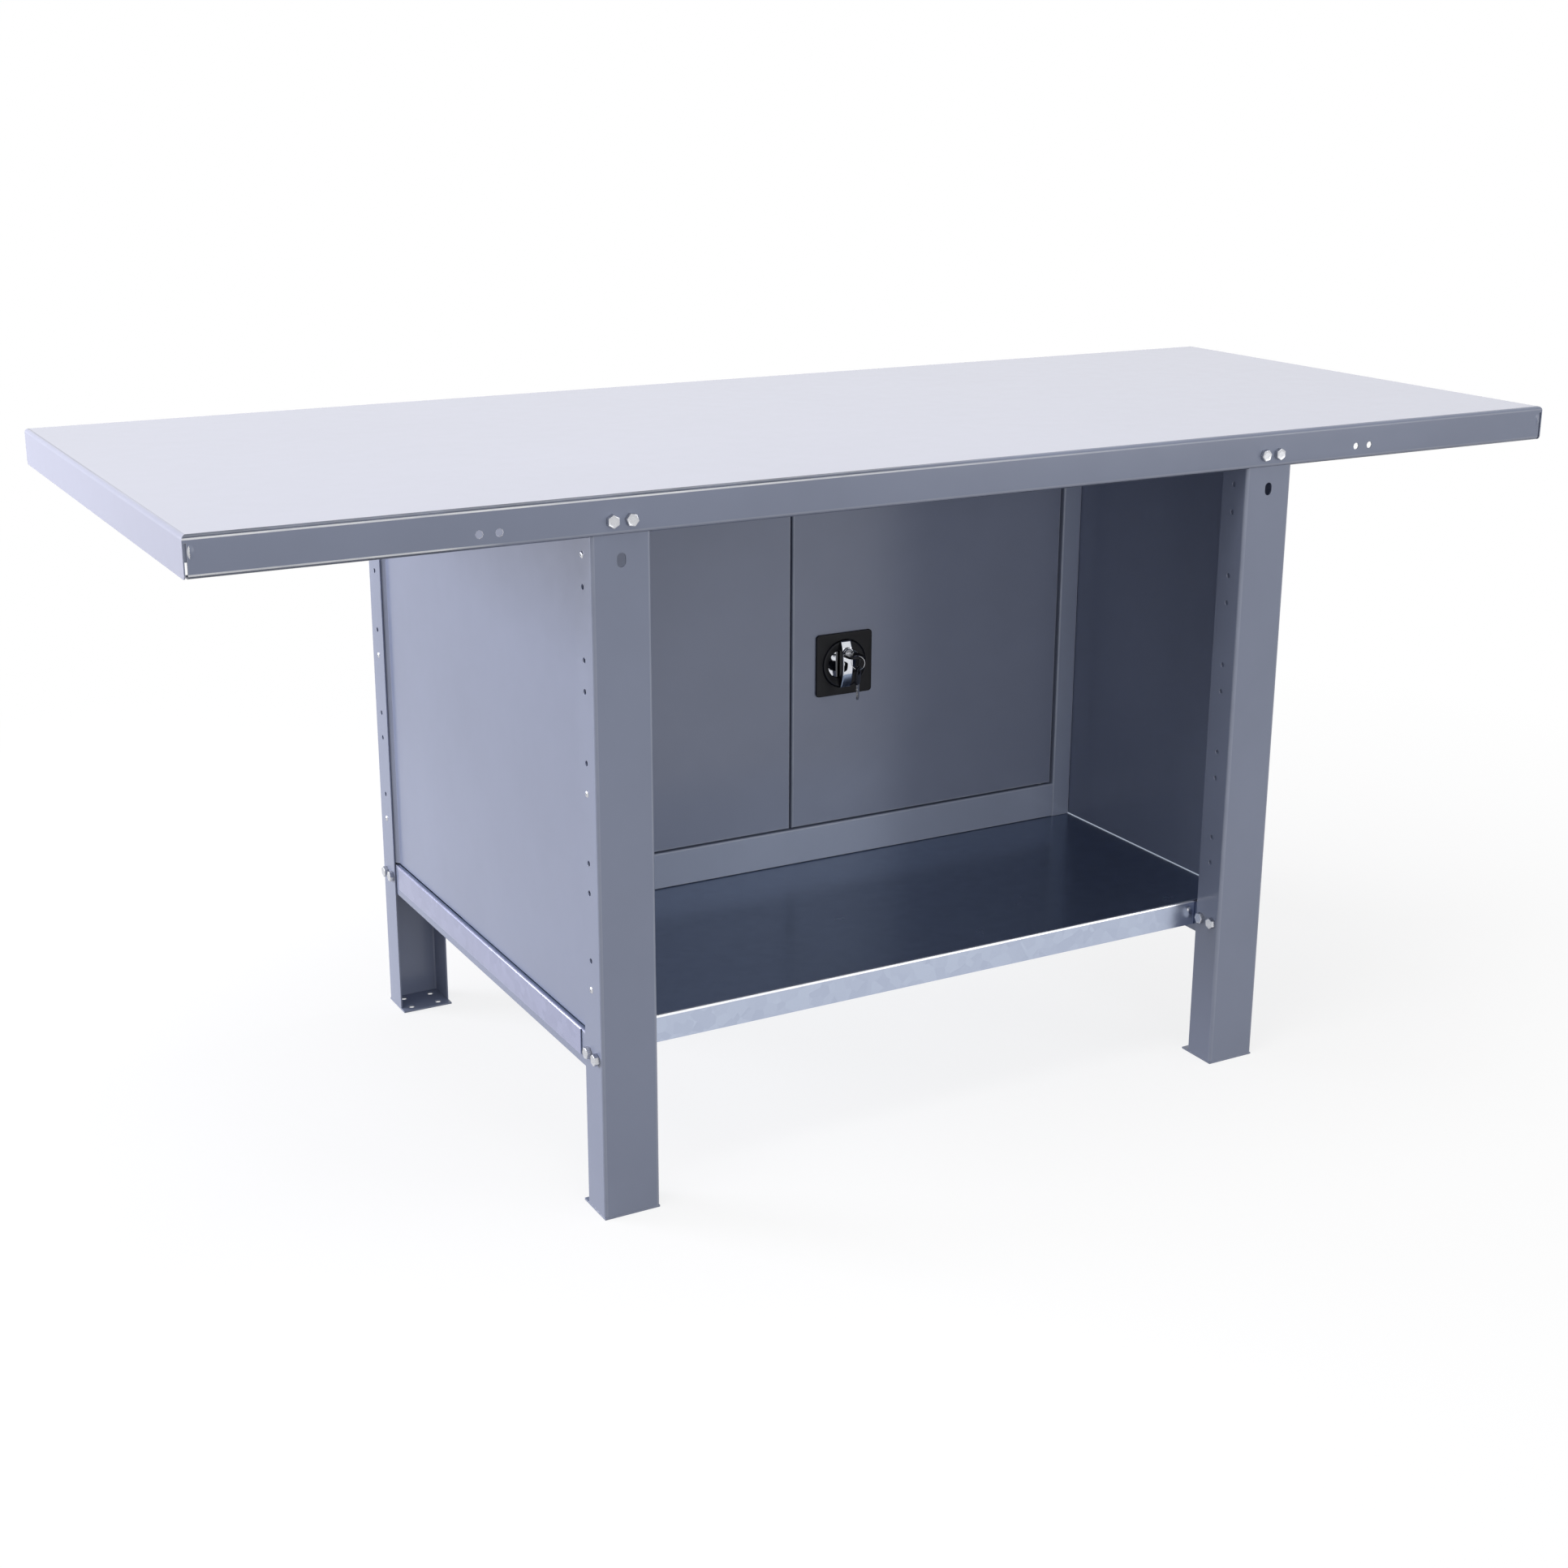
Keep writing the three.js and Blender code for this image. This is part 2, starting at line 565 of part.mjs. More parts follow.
// A rail between the posts, a channel open to the back, with holes for hinge pins and lock rods
function cabinetRail(bottom, top, ledge, rodX, rodFront) {
  const face = CABINET_Y + FRONT_SHEET / 2;
  const back = CABINET_Y + FRONT_RETURN;
  const low = bottom + FRONT_SHEET / 2;
  const high = top - FRONT_SHEET / 2;
  const path = [[back, high], [face, high], [face, low], [back, low]];
  const end = POST_INSIDE - FIT;
  const channel = sweep(sheetOutline(path, FRONT_SHEET, FRONT_BEND), 'x', -end, end);
  const from = ledge - FRONT_SHEET * 2;
  const to = ledge + FRONT_SHEET * 2;
  const rodPlay = FIT * 2;
  const rodY = CABINET_Y - rodFront;
  const tools = [
    block(
      rodX - ROD_WIDTH / 2 - rodPlay, rodX + ROD_WIDTH / 2 + rodPlay,
      rodY - rodPlay, rodY + ROD_SHEET + rodPlay, from, to),
  ];
  for (const side of [-1, 1]) {
    tools.push(bar(PIN_DIAMETER + 2 * FIT, 'z', side * HINGE_X, HINGE_Y, from, to, PIN_SIDES));
  }
  return cut(channel, tools);
}

// A hinge pin with a collar between rail and door. Zero is the rail's face, +Z towards the door.
function hingePin() {
  const collar = DOOR_END_GAP - 2 * FIT;
  return join([
    bar(PIN_DIAMETER, 'z', 0, 0, -PIN_REACH, DOOR_END_GAP + PIN_REACH, PIN_SIDES),
    bar(PIN_COLLAR, 'z', 0, 0, FIT, FIT + collar, PIN_SIDES),
  ]);
}

// A door lies in its own frame: x along its width, y up, z out of its face at the door's middle
function door(side) {
  const tray = foldedTray({
    length: DOOR_WIDTH,
    width: DOOR_HEIGHT,
    height: DOOR_DEPTH,
    sheet: DOOR_SHEET,
    bend: DOOR_BEND,
    longLip: DOOR_LIP,
    endLip: DOOR_LIP,
  });
  const pivotX = side * (HINGE_X - DOOR_CENTRE);
  const reach = DOOR_HEIGHT / 2 + CUT;
  const pinHole = sweep(
    discOutline((PIN_DIAMETER + 2 * FIT) / 2, pivotX, -PIVOT_DEPTH), 'y', -reach, reach, PIN_SIDES / 2);
  return cut(tray, [pinHole]);
}

// The right door also takes the lock and its two rods
function lockedDoor() {
  const lockX = LOCK_X - DOOR_CENTRE;
  const lockY = LOCK_HEIGHT - DOOR_MIDDLE;
  const tools = [bar(2 * (SLEEVE_RADIUS + FIT), 'z', lockX, lockY, -DOOR_DEPTH / 2, CUT, LOCK_SIDES)];
  for (const [, level] of LEVELS) {
    const front = level > 0 ? UPPER_ROD_FRONT : LOWER_ROD_FRONT;
    const x = lockX - level * ROD_OFFSET;
    const y = level * (DOOR_HEIGHT / 2);
    tools.push(block(
      x - ROD_WIDTH / 2 - FIT, x + ROD_WIDTH / 2 + FIT, y - CUT, y + CUT,
      front - ROD_SHEET - FIT, front + FIT));
  }
  return cut(door(1), tools);
}

// The lock's pieces lie in the lock's frame: z out of the door, zero on its face
function lockPlate() {
  const half = PLATE_SIZE / 2;
  const square = roundedOutline(-half, half, -half, half, PLATE_CORNER, PLATE_CORNER);
  const plate = sweep(square, 'z', FIT, FIT + PLATE_THICKNESS);
  const mouth = bar(2 * (ROTOR_RADIUS + FIT), 'z', 0, 0, -CUT, PLATE_THICKNESS + CUT, LOCK_SIDES);
  const back = -SLEEVE_DEPTH;
  const sleeve = turned([
    [SLEEVE_RADIUS - SLEEVE_LEDGE, back],
    [SLEEVE_RADIUS, back],
    [SLEEVE_RADIUS, FIT + PLATE_THICKNESS / 2],
    [ROTOR_RADIUS + FIT, FIT + PLATE_THICKNESS / 2],
    [ROTOR_RADIUS + FIT, back + ROTOR_FLOOR],
    [SLEEVE_RADIUS - SLEEVE_LEDGE, back + ROTOR_FLOOR],
  ]);
  return join([cut(plate, [mouth]), sleeve]);
}

// The outline of the rotor's window, or of what fits in it with a gap all round
function windowOutline(gap) {
  const across = WINDOW_WIDTH / 2 - gap;
  const up = WINDOW_HEIGHT / 2 - gap;
  return roundedOutline(-across, across, -up, up, up, up);
}

function lockRotor() {
  const eye = SPINDLE_DIAMETER / 2 + FIT;
  const disc = turned([
    [eye, ROTOR_BACK],
    [ROTOR_RADIUS, ROTOR_BACK],
    [ROTOR_RADIUS, ROTOR_FRONT - ROTOR_CHAMFER],
    [ROTOR_RADIUS - ROTOR_CHAMFER, ROTOR_FRONT],
    [eye, ROTOR_FRONT],
  ]);
  const opening = sweep(windowOutline(0), 'z', WINDOW_BACK, ROTOR_FRONT + CUT, WINDOW_STEPS);
  return cut(disc, [opening]);
}

// The boss fills the window behind the grip, and its front is a part of a ball
function lockBoss() {
  const reach = WINDOW_WIDTH / 2;
  const back = WINDOW_BACK + FIT;
  const front = [];
  for (let step = 0; step <= BOSS_STEPS; step += 1) {
    const radius = (reach * step) / BOSS_STEPS;
    front.push([radius, BOSS_CROWN - BOSS_CURVE + Math.sqrt(BOSS_CURVE ** 2 - radius ** 2)]);
  }
  const dome = turned([[0, back], [reach, back], ...front.toReversed()]);
  return dome.intersect(sweep(windowOutline(FIT), 'z', back, BOSS_CROWN + CUT, WINDOW_STEPS));
}

// The grip, an arch that bridges the window and rests on the rotor's front
function lockHandle() {
  const half = HANDLE_LENGTH / 2;
  const rise = HANDLE_CROWN - HANDLE_END;
  const radius = (half ** 2 + rise ** 2) / (2 * rise);
  const middle = HANDLE_CROWN - radius;
  const lean = Math.asin(half / radius);
  const arch = new THREE.Shape();
  arch.moveTo(-half, HANDLE_SEAT);
  arch.lineTo(half, HANDLE_SEAT);
  arch.absarc(0, middle, radius, Math.PI / 2 - lean, Math.PI / 2 + lean);
  const blank = sweep(arch, 'x', -HANDLE_WIDTH / 2, HANDLE_WIDTH / 2, ARCH_STEPS);
  const plugHole = bar(
    PLUG_DIAMETER + 2 * FIT, 'z', 0, PLUG_OFFSET, PLUG_BACK - CUT, HANDLE_CROWN + CUT, PIN_SIDES);
  return cut(blank, [plugHole]);
}

// The plug turns about its own axis, which is the origin of the key's frame
function lockCylinder() {
  const plug = bar(PLUG_DIAMETER, 'z', 0, 0, PLUG_BACK, PLUG_FRONT, PIN_SIDES);
  const width = KEY_BLADE_WIDTH / 2 + FIT;
  const height = KEY_BLADE_SHEET / 2 + FIT;
  const keyway = block(-width, width, -height, height, KEY_BLADE_TIP - FIT, PLUG_FRONT + CUT);
  return cut(plug, [keyway]);
}

// A key in the plane of u and v, bow towards +v, as an outline for each of its two sweeps
function keySolid(axis, bowStart, bladeTip) {
  const half = KEY_BOW_WIDTH / 2;
  const bowEnd = bowStart + KEY_BOW_LENGTH;
  const bow = roundedOutline(-half, half, bowStart, bowEnd, KEY_BOW_CORNER, KEY_BOW_CORNER);
  const holeEnd = bowEnd - KEY_BRIDGE;
  const holeHalf = KEY_HOLE_WIDTH / 2;
  const holeRadius = KEY_HOLE_HEIGHT / 2;
  bow.holes.push(roundedOutline(
    -holeHalf, holeHalf, holeEnd - KEY_HOLE_HEIGHT, holeEnd, holeRadius, holeRadius));
  const bladeHalf = KEY_BLADE_WIDTH / 2;
  const blade = roundedOutline(
    -bladeHalf, bladeHalf, bladeTip, bowStart + KEY_BOW_LENGTH / 4, 0, bladeHalf / 2);
  return join([
    sweep(bow, axis, -KEY_BOW_SHEET / 2, KEY_BOW_SHEET / 2, PIN_SIDES / 4),
    sweep(blade, axis, -KEY_BLADE_SHEET / 2, KEY_BLADE_SHEET / 2),
  ]);
}

function keyRing() {
  return solidOf(new THREE.TorusGeometry(RING_DIAMETER / 2, RING_WIRE / 2, WIRE_SIDES, RING_STEPS));
}

// The cam turns with the handle and moves the rods by two crank pins
function lockCam() {
  const pin = (x, back) => bar(CRANK_PIN, 'z', x, 0, back, CAM_BACK + CAM_SHEET / 2, PIN_SIDES);
  return join([
    bar(SPINDLE_DIAMETER, 'z', 0, 0, CAM_BACK + CAM_SHEET / 2, ROTOR_BACK + ROTOR_FLOOR, PIN_SIDES),
    bar(CAM_DIAMETER, 'z', 0, 0, CAM_BACK, CAM_FRONT, 2 * PIN_SIDES),
    pin(-CRANK_RADIUS, UPPER_ROD_FRONT - ROD_SHEET),
    pin(CRANK_RADIUS, LOWER_ROD_FRONT - ROD_SHEET),
  ]);
}

// A rod runs from its yoke on a crank pin to the door's edge. The level is 1 up and -1 down.
function lockRod(level, front) {
  const back = front - ROD_SHEET;
  const ordered = (a, b) => [Math.min(a, b), Math.max(a, b)];
  const slotHalf = CRANK_PIN / 2 + YOKE_PLAY;
  const doorEdge = level > 0 ? DOOR_TOP - LOCK_HEIGHT : LOCK_HEIGHT - DOOR_BOTTOM;
  const yoke = block(
    ...ordered(-level * YOKE_OUTER, level * YOKE_PAST_AXIS),
    -YOKE_HALF_HEIGHT, YOKE_HALF_HEIGHT, back, front);
  const stem = block(
    -level * ROD_OFFSET - ROD_WIDTH / 2, -level * ROD_OFFSET + ROD_WIDTH / 2,
    ...ordered(level * (slotHalf + YOKE_FRAME / 2), level * (doorEdge - FIT)), back, front);
  const slot = block(
    ...ordered(-level * (YOKE_OUTER - YOKE_FRAME), level * (CRANK_PIN / 2 + FIT)),
    -slotHalf, slotHalf, back - CUT, front + CUT);
  return cut(join([yoke, stem]), [slot]);
}

// Assembly
const bench = new THREE.Group();

const top = part('worktop', worktop(), PAINT);
top.position.z = BENCH_HEIGHT;
bench.add(top);

for (const [sideName, side] of SIDES) {
  const stiffener = part(`top_stiffener_${sideName}`, topStiffener(), PAINT);
  stiffener.position.set(side * (FRAME_LENGTH + TOP_LENGTH) / 4, 0, BENCH_HEIGHT);
  bench.add(stiffener);

  for (const [endName, end] of ENDS) {
    const place = `${endName}_${sideName}`;
    const corner = new THREE.Group();
    corner.position.set(side * LEG_CENTRE, end * LEG_FACE, 0);
    corner.rotation.z = end < 0 ? 0 : Math.PI;
    corner.add(part(`leg_${place}`, leg(), PAINT));
    corner.add(part(`foot_plate_${place}`, footPlate(), PAINT));
    apronBoltOffsets.forEach((offset, i) => {
      const bolt = part(`apron_bolt_${place}_${i + 1}`, hexBolt(TOP_SHEET + FIT + LEG_SHEET), ZINC);
      bolt.position.set(offset, -FIT - TOP_SHEET, APRON_BOLT_HEIGHT);
      bolt.rotation.x = -Math.PI / 2;
      corner.add(bolt);
    });
    bench.add(corner);

    railBoltInsets.forEach((inset, i) => {
      const bolt = part(`rail_bolt_${place}_${i + 1}`, hexBolt(LEG_SHEET + FIT + RAIL_SHEET), ZINC);
      const x = side * LEG_CENTRE - LEG_WIDTH / 2;
      bolt.position.set(x, end * (LEG_FACE - inset), RAIL_BOLT_HEIGHT);
      bolt.rotation.y = Math.PI / 2;
      bench.add(bolt);
    });
  }

  const rail = part(`cross_rail_${sideName}`, crossRail(), PAINT);
  rail.position.x = side * LEG_CENTRE;
  bench.add(rail);

  const flank = new THREE.Group();
  flank.rotation.z = side < 0 ? 0 : Math.PI;
  flank.add(part(`side_panel_${sideName}`, sidePanel(), PAINT));
  bench.add(flank);

  const post = side < 0 ? cabinetPost() : cabinetPost().mirror([1, 0, 0]);
  bench.add(part(`cabinet_post_${sideName}`, post, PAINT));
}

const shelfMesh = part('shelf', shelf(), GALVANISED);
shelfMesh.position.z = SHELF_TOP;
bench.add(shelfMesh);

const back = part('back_panel', backPanel(), PAINT);
back.rotation.x = Math.PI / 2;
back.position.set(0, SHELF_DEPTH / 2 + FIT, (PANEL_TOP + SHELF_TOP - BACK_LAP) / 2);
bench.add(back);

const baseRail = cabinetRail(
  SHELF_TOP + FIT, BASE_RAIL_TOP, BASE_RAIL_TOP, LOCK_X + ROD_OFFSET, LOWER_ROD_FRONT);
bench.add(part('cabinet_base_rail', baseRail, PAINT));
const topRail = cabinetRail(
  TOP_RAIL_BOTTOM, PANEL_TOP, TOP_RAIL_BOTTOM, LOCK_X - ROD_OFFSET, UPPER_ROD_FRONT);
bench.add(part('cabinet_top_rail', topRail, PAINT));

for (const [sideName, side] of SIDES) {
  for (const [levelName, level] of LEVELS) {
    const pin = part(`hinge_pin_${sideName}_${levelName}`, hingePin(), STEEL);
    pin.position.set(side * HINGE_X, HINGE_Y, level < 0 ? BASE_RAIL_TOP : TOP_RAIL_BOTTOM);
    pin.rotation.x = level < 0 ? 0 : Math.PI;
    bench.add(pin);
  }
  const leaf = new THREE.Group();
  leaf.position.set(side * DOOR_CENTRE, CABINET_Y, DOOR_MIDDLE);
  leaf.rotation.x = Math.PI / 2;
  leaf.add(part(`door_${sideName}`, side < 0 ? door(side) : lockedDoor(), PAINT));
  bench.add(leaf);
}

const lock = new THREE.Group();
lock.position.set(LOCK_X, CABINET_Y, LOCK_HEIGHT);
lock.rotation.x = Math.PI / 2;
lock.add(part('lock_plate', lockPlate(), BLACK_PLASTIC));
lock.add(part('lock_rotor', lockRotor(), BLACK_PLASTIC));
lock.add(part('lock_boss', lockBoss(), CHROME));
lock.add(part('lock_handle', lockHandle(), CHROME));
lock.add(part('lock_cam', lockCam(), STEEL));
lock.add(part('lock_rod_upper', lockRod(1, UPPER_ROD_FRONT), STEEL));
lock.add(part('lock_rod_lower', lockRod(-1, LOWER_ROD_FRONT), STEEL));
bench.add(lock);

const keyFrame = new THREE.Group();
keyFrame.position.y = PLUG_OFFSET;
keyFrame.add(part('lock_cylinder', lockCylinder(), CHROME));
keyFrame.add(part('key', keySolid('y', KEY_BOW_START, KEY_BLADE_TIP), BLACK_PLASTIC));
lock.add(keyFrame);

// The ring hangs from the end of the key's bow, and the spare key from the ring
const bunch = new THREE.Group();
bunch.position.z = BRIDGE_MIDDLE;
bunch.rotation.y = RING_TURN + Math.PI / 2;
const ring = part('key_ring', keyRing(), STEEL);
ring.position.y = RING_DROP;
bunch.add(ring);
const ringBottom = RING_DROP - RING_DIAMETER / 2;
const spareBowEnd = ringBottom + RING_WIRE / 2 + FIT + KEY_BRIDGE;
const spareBowStart = spareBowEnd - KEY_BOW_LENGTH;
const spare = part(
  'spare_key', keySolid('z', spareBowStart, spareBowStart - SPARE_BLADE_LENGTH), BLACK_PLASTIC);
spare.rotation.y = Math.PI / 2;
bunch.add(spare);
keyFrame.add(bunch);

export default bench;
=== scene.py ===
# %% [markdown]
# # A steel workbench with cabinet doors
# The bench is folded from painted sheet steel. It stands on four channel legs, carries a galvanised
# shelf, and has a cabinet with two doors and a turning lock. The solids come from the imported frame,
# which says where each piece is and which body it moves with. This lesson dresses those solids:
# rounded edges, real fasteners, a chrome lock and painted, galvanised and plated finishes.

# %% Load the frame
import math

import bmesh
import bpy
from mathutils import Matrix, Quaternion, Vector


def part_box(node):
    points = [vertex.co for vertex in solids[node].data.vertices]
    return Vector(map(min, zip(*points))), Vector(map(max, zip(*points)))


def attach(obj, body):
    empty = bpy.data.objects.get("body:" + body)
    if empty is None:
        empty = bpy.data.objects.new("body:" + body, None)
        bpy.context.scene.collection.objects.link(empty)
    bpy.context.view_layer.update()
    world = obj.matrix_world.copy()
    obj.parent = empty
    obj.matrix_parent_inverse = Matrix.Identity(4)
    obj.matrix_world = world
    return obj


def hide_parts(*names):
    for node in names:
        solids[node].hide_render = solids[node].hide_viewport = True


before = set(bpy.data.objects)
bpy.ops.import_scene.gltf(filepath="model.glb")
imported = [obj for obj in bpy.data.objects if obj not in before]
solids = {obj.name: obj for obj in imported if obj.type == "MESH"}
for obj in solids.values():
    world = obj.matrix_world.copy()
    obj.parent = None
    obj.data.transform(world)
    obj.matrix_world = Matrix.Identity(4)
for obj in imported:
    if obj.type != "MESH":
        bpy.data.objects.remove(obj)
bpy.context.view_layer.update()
MM = 0.001

# %% [markdown]
# ## Camera
# The photograph was solved for its camera from the bench's straight edges. The result is a place, a
# turn given as one axis whose length is the angle, and a focal length. A small shift puts the
# optical centre where the photograph has it. Setting these numbers is surer than judging by eye.

# %% Camera
CAMERA_PLACE = Vector((-1.4233, -2.4866, 1.2777))
CAMERA_TURN = Vector((1.8240, -0.4702, 0.3539))
SENSOR_WIDTH = 36.0
FOCAL_LENGTH = 51.85
LENS_SHIFT = (-0.0028, -0.0224)
NEAREST = 0.05

camera = bpy.data.objects.new("camera", bpy.data.cameras.new("camera"))
bpy.context.scene.collection.objects.link(camera)
bpy.context.scene.camera = camera
camera.data.sensor_width = SENSOR_WIDTH
camera.data.lens = FOCAL_LENGTH
camera.data.shift_x, camera.data.shift_y = LENS_SHIFT
camera.data.clip_start = NEAREST
looks = Quaternion(CAMERA_TURN.normalized(), CAMERA_TURN.length).to_matrix()
axes = Matrix((looks[0], -looks[1], -looks[2])).transposed()
camera.matrix_world = Matrix.Translation(CAMERA_PLACE) @ axes.to_4x4()
print("camera looks along", [round(v, 3) for v in looks[2]])

# %% [markdown]
# ## Shared effects for the finishes
# Several finishes need the same small irregularities, so each effect is one shader node group with
# named inputs, placed in every material that needs it. Groups here read a place in the object's own
# coordinates, so a pattern stays on its piece when the piece moves.

# %% Helpers that build node groups
FLOAT, VECTOR = "NodeSocketFloat", "NodeSocketVector"
# Sockets of the Mix node when it mixes colours
MIX_SHARE, MIX_FIRST, MIX_SECOND, MIX_RESULT = 0, 6, 7, 2


def node_group(name, inputs, outputs):
    group = bpy.data.node_groups.new(name, "ShaderNodeTree")
    for title, kind, value in inputs:
        socket = group.interface.new_socket(title, in_out="INPUT", socket_type=kind)
        if value is not None:
            socket.default_value = value
    for title in outputs:
        group.interface.new_socket(title, in_out="OUTPUT", socket_type=FLOAT)
    start = group.nodes.new("NodeGroupInput")
    end = group.nodes.new("NodeGroupOutput")
    return group, start, end


def feed(tree, socket, value):
    if isinstance(value, bpy.types.NodeSocket):
        tree.links.new(value, socket)
    else:
        socket.default_value = value


def add_node(tree, kind, settings=(), **sockets):
    node = tree.nodes.new(kind)
    for key, value in dict(settings).items():
        setattr(node, key, value)
    for title, value in sockets.items():
        feed(tree, node.inputs[title.replace("_", " ")], value)
    return node


def math_node(tree, operation, *values):
    node = add_node(tree, "ShaderNodeMath", {"operation": operation})
    for socket, value in zip(node.inputs, values):
        feed(tree, socket, value)
    return node.outputs[0]


def ramp(tree, value, low, high, to_low=0.0, to_high=1.0):
    node = add_node(tree, "ShaderNodeMapRange", Value=value, From_Min=low, From_Max=high,
                    To_Min=to_low, To_Max=to_high)
    return node.outputs["Result"]


def mix_colour(tree, share, first, second):
    node = add_node(tree, "ShaderNodeMix", {"data_type": "RGBA"})
    for index, value in ((MIX_SHARE, share), (MIX_FIRST, first), (MIX_SECOND, second)):
        feed(tree, node.inputs[index], value)
    return node.outputs[MIX_RESULT]


def noise(tree, place, scale, detail, roughness=0.5):
    node = add_node(tree, "ShaderNodeTexNoise", Vector=place, Scale=scale, Detail=detail,
                    Roughness=roughness)
    return node.outputs["Fac"]


print("node helpers ready")

# %% [markdown]
# ### Sprayed coat
# Baked paint on sheet steel has a fine peel, like an orange's skin, and a slow change of tone where
# the spray overlapped. A third noise, between the two in size, is for smears in the gloss.

# %% Sprayed coat group
SMEAR_SCALE = 38.0

coat, coat_in, coat_out = node_group(
    "sprayed_coat",
    [("Place", VECTOR, None), ("Peel Scale", FLOAT, 700.0), ("Cloud Scale", FLOAT, 5.0)],
    ["Peel", "Cloud", "Smear"])
coat_place = coat_in.outputs["Place"]
peel = noise(coat, coat_place, coat_in.outputs["Peel Scale"], 2.0)
cloud = noise(coat, coat_place, coat_in.outputs["Cloud Scale"], 4.0, 0.55)
smear = noise(coat, coat_place, SMEAR_SCALE, 3.0)
coat.links.new(peel, coat_out.inputs["Peel"])
coat.links.new(ramp(coat, cloud, 0.3, 0.7), coat_out.inputs["Cloud"])
coat.links.new(ramp(coat, smear, 0.3, 0.7), coat_out.inputs["Smear"])
print("group", coat.name)

# %% [markdown]
# ### Worn and highlit bends
# A bend is mixed towards a second colour. Partly this is wear, since paint is thinnest on a bend
# and hands and tools polish it there. Partly it is painted light: a painted highlight along the fold,
# and in a few finishes a painted dark reflection instead. Every dressed piece carries an attribute
# named bend, which is 1 on its folds and rounded edges. Noise breaks the mask up.

# %% Worn and highlit bends group
BEND_BREAK_SCALE = 26.0

bend_group, bend_group_in, bend_group_out = node_group(
    "worn_and_highlit_bends",
    [("Place", VECTOR, None), ("Bend", FLOAT, 0.0), ("Amount", FLOAT, 0.5)],
    ["Mask"])
bend_break = ramp(bend_group, noise(bend_group, bend_group_in.outputs["Place"], BEND_BREAK_SCALE, 5.0), 0.25, 0.6, 0.55, 1.0)
bend_share = math_node(bend_group, "MULTIPLY", bend_group_in.outputs["Bend"], bend_break)
bend_amount_mask = math_node(bend_group, "MULTIPLY", bend_share, bend_group_in.outputs["Amount"])
bend_group.links.new(bend_amount_mask, bend_group_out.inputs["Mask"])
print("group", bend_group.name)

# %% [markdown]
# ### Zinc spangle
# Hot-dip galvanising freezes into flat crystals, each with its own tone. Cells of a Voronoi texture
# are a fair model of them: one random value per crystal. A soft noise gives the bloom over them.

# %% Zinc spangle group
BLOOM_SCALE = 9.0

spangle, spangle_in, spangle_out = node_group(
    "zinc_spangle",
    [("Place", VECTOR, None), ("Size", FLOAT, 70.0)],
    ["Crystal", "Bloom"])
spangle_place = spangle_in.outputs["Place"]
cells = add_node(spangle, "ShaderNodeTexVoronoi", {"feature": "F1"}, Vector=spangle_place,
                 Scale=spangle_in.outputs["Size"], Randomness=1.0)
split = add_node(spangle, "ShaderNodeSeparateColor", Color=cells.outputs["Color"])
bloom = ramp(spangle, noise(spangle, spangle_place, BLOOM_SCALE, 5.0), 0.35, 0.7)
spangle.links.new(split.outputs[0], spangle_out.inputs["Crystal"])
spangle.links.new(bloom, spangle_out.inputs["Bloom"])
print("group", spangle.name)

# %% [markdown]
# ## Finishes
# Each finish is one function that takes its colours and returns a material. Numbers that are the
# same all over a surface are set on the shader itself. Only what changes over the surface is linked.
# Fades are the two places along the bench between which the painted light on a bend dies away.

# %% Paint
PAINT_GLOSS = 0.22
FADED_LIGHT_LINE = 0.12


def new_material(name):
    material = bpy.data.materials.new(name)
    material.use_nodes = True
    tree = material.node_tree
    shader = tree.nodes["Principled BSDF"]
    place = tree.nodes.new("ShaderNodeTexCoord").outputs["Object"]
    return material, tree, shader, place


def use_group(tree, group, **sockets):
    return add_node(tree, "ShaderNodeGroup", {"node_tree": group}, **sockets)


def bend_wear_and_light_mask(tree, place, amount):
    folds = add_node(tree, "ShaderNodeAttribute", {"attribute_name": "bend"})
    bend_marks = use_group(tree, bend_group, Place=place, Bend=folds.outputs["Fac"], Amount=amount)
    return bend_marks.outputs["Mask"]


def cover(tree, shader, colour, rough, height, distance, strength):
    relief = add_node(tree, "ShaderNodeBump", Height=height, Distance=distance, Strength=strength)
    tree.links.new(colour, shader.inputs["Base Color"])
    tree.links.new(rough, shader.inputs["Roughness"])
    tree.links.new(relief.outputs["Normal"], shader.inputs["Normal"])


def shade(colour, factor):
    return tuple(min(1.0, c * factor) for c in colour) + (1.0,)


def paint(name, colour, wear_and_light_tone, wear_and_light_amount, fades=None, mottle=0.05):
    material, tree, shader, place = new_material(name)
    spray = use_group(tree, coat, Place=place, Peel_Scale=650.0, Cloud_Scale=4.0)
    amount = wear_and_light_amount
    # Along the bench the painted light on the bends falls from its full amount to a faint rest.
    if fades:
        along = add_node(tree, "ShaderNodeSeparateXYZ", Vector=place).outputs["X"]
        amount = ramp(tree, along, fades[0], fades[1], wear_and_light_amount, FADED_LIGHT_LINE)
    tone = mix_colour(tree, spray.outputs["Cloud"], shade(colour, 1 - mottle),
                      shade(colour, 1 + mottle))
    # Bends take the second colour, which is partly wear and partly painted light on the folds.
    final = mix_colour(tree, bend_wear_and_light_mask(tree, place, amount), tone, (*wear_and_light_tone, 1.0))
    rough = ramp(tree, spray.outputs["Smear"], 0.0, 1.0, PAINT_GLOSS - 0.4 * mottle,
                 PAINT_GLOSS + mottle)
    cover(tree, shader, final, rough, spray.outputs["Peel"], 0.00002, 0.1)
    return material


BLUE = (0.265, 0.298, 0.405)
# Painted dark reflection for the worktop's folds: a darker blue, and a near black on the part of a
# fold that faces away from the lamps.
SHADED_FOLD_BLUE, PAINTED_DARK_REFLECTION = (0.25, 0.28, 0.38), (0.11, 0.125, 0.17)
HEM_FADES = (-0.63, -0.57)
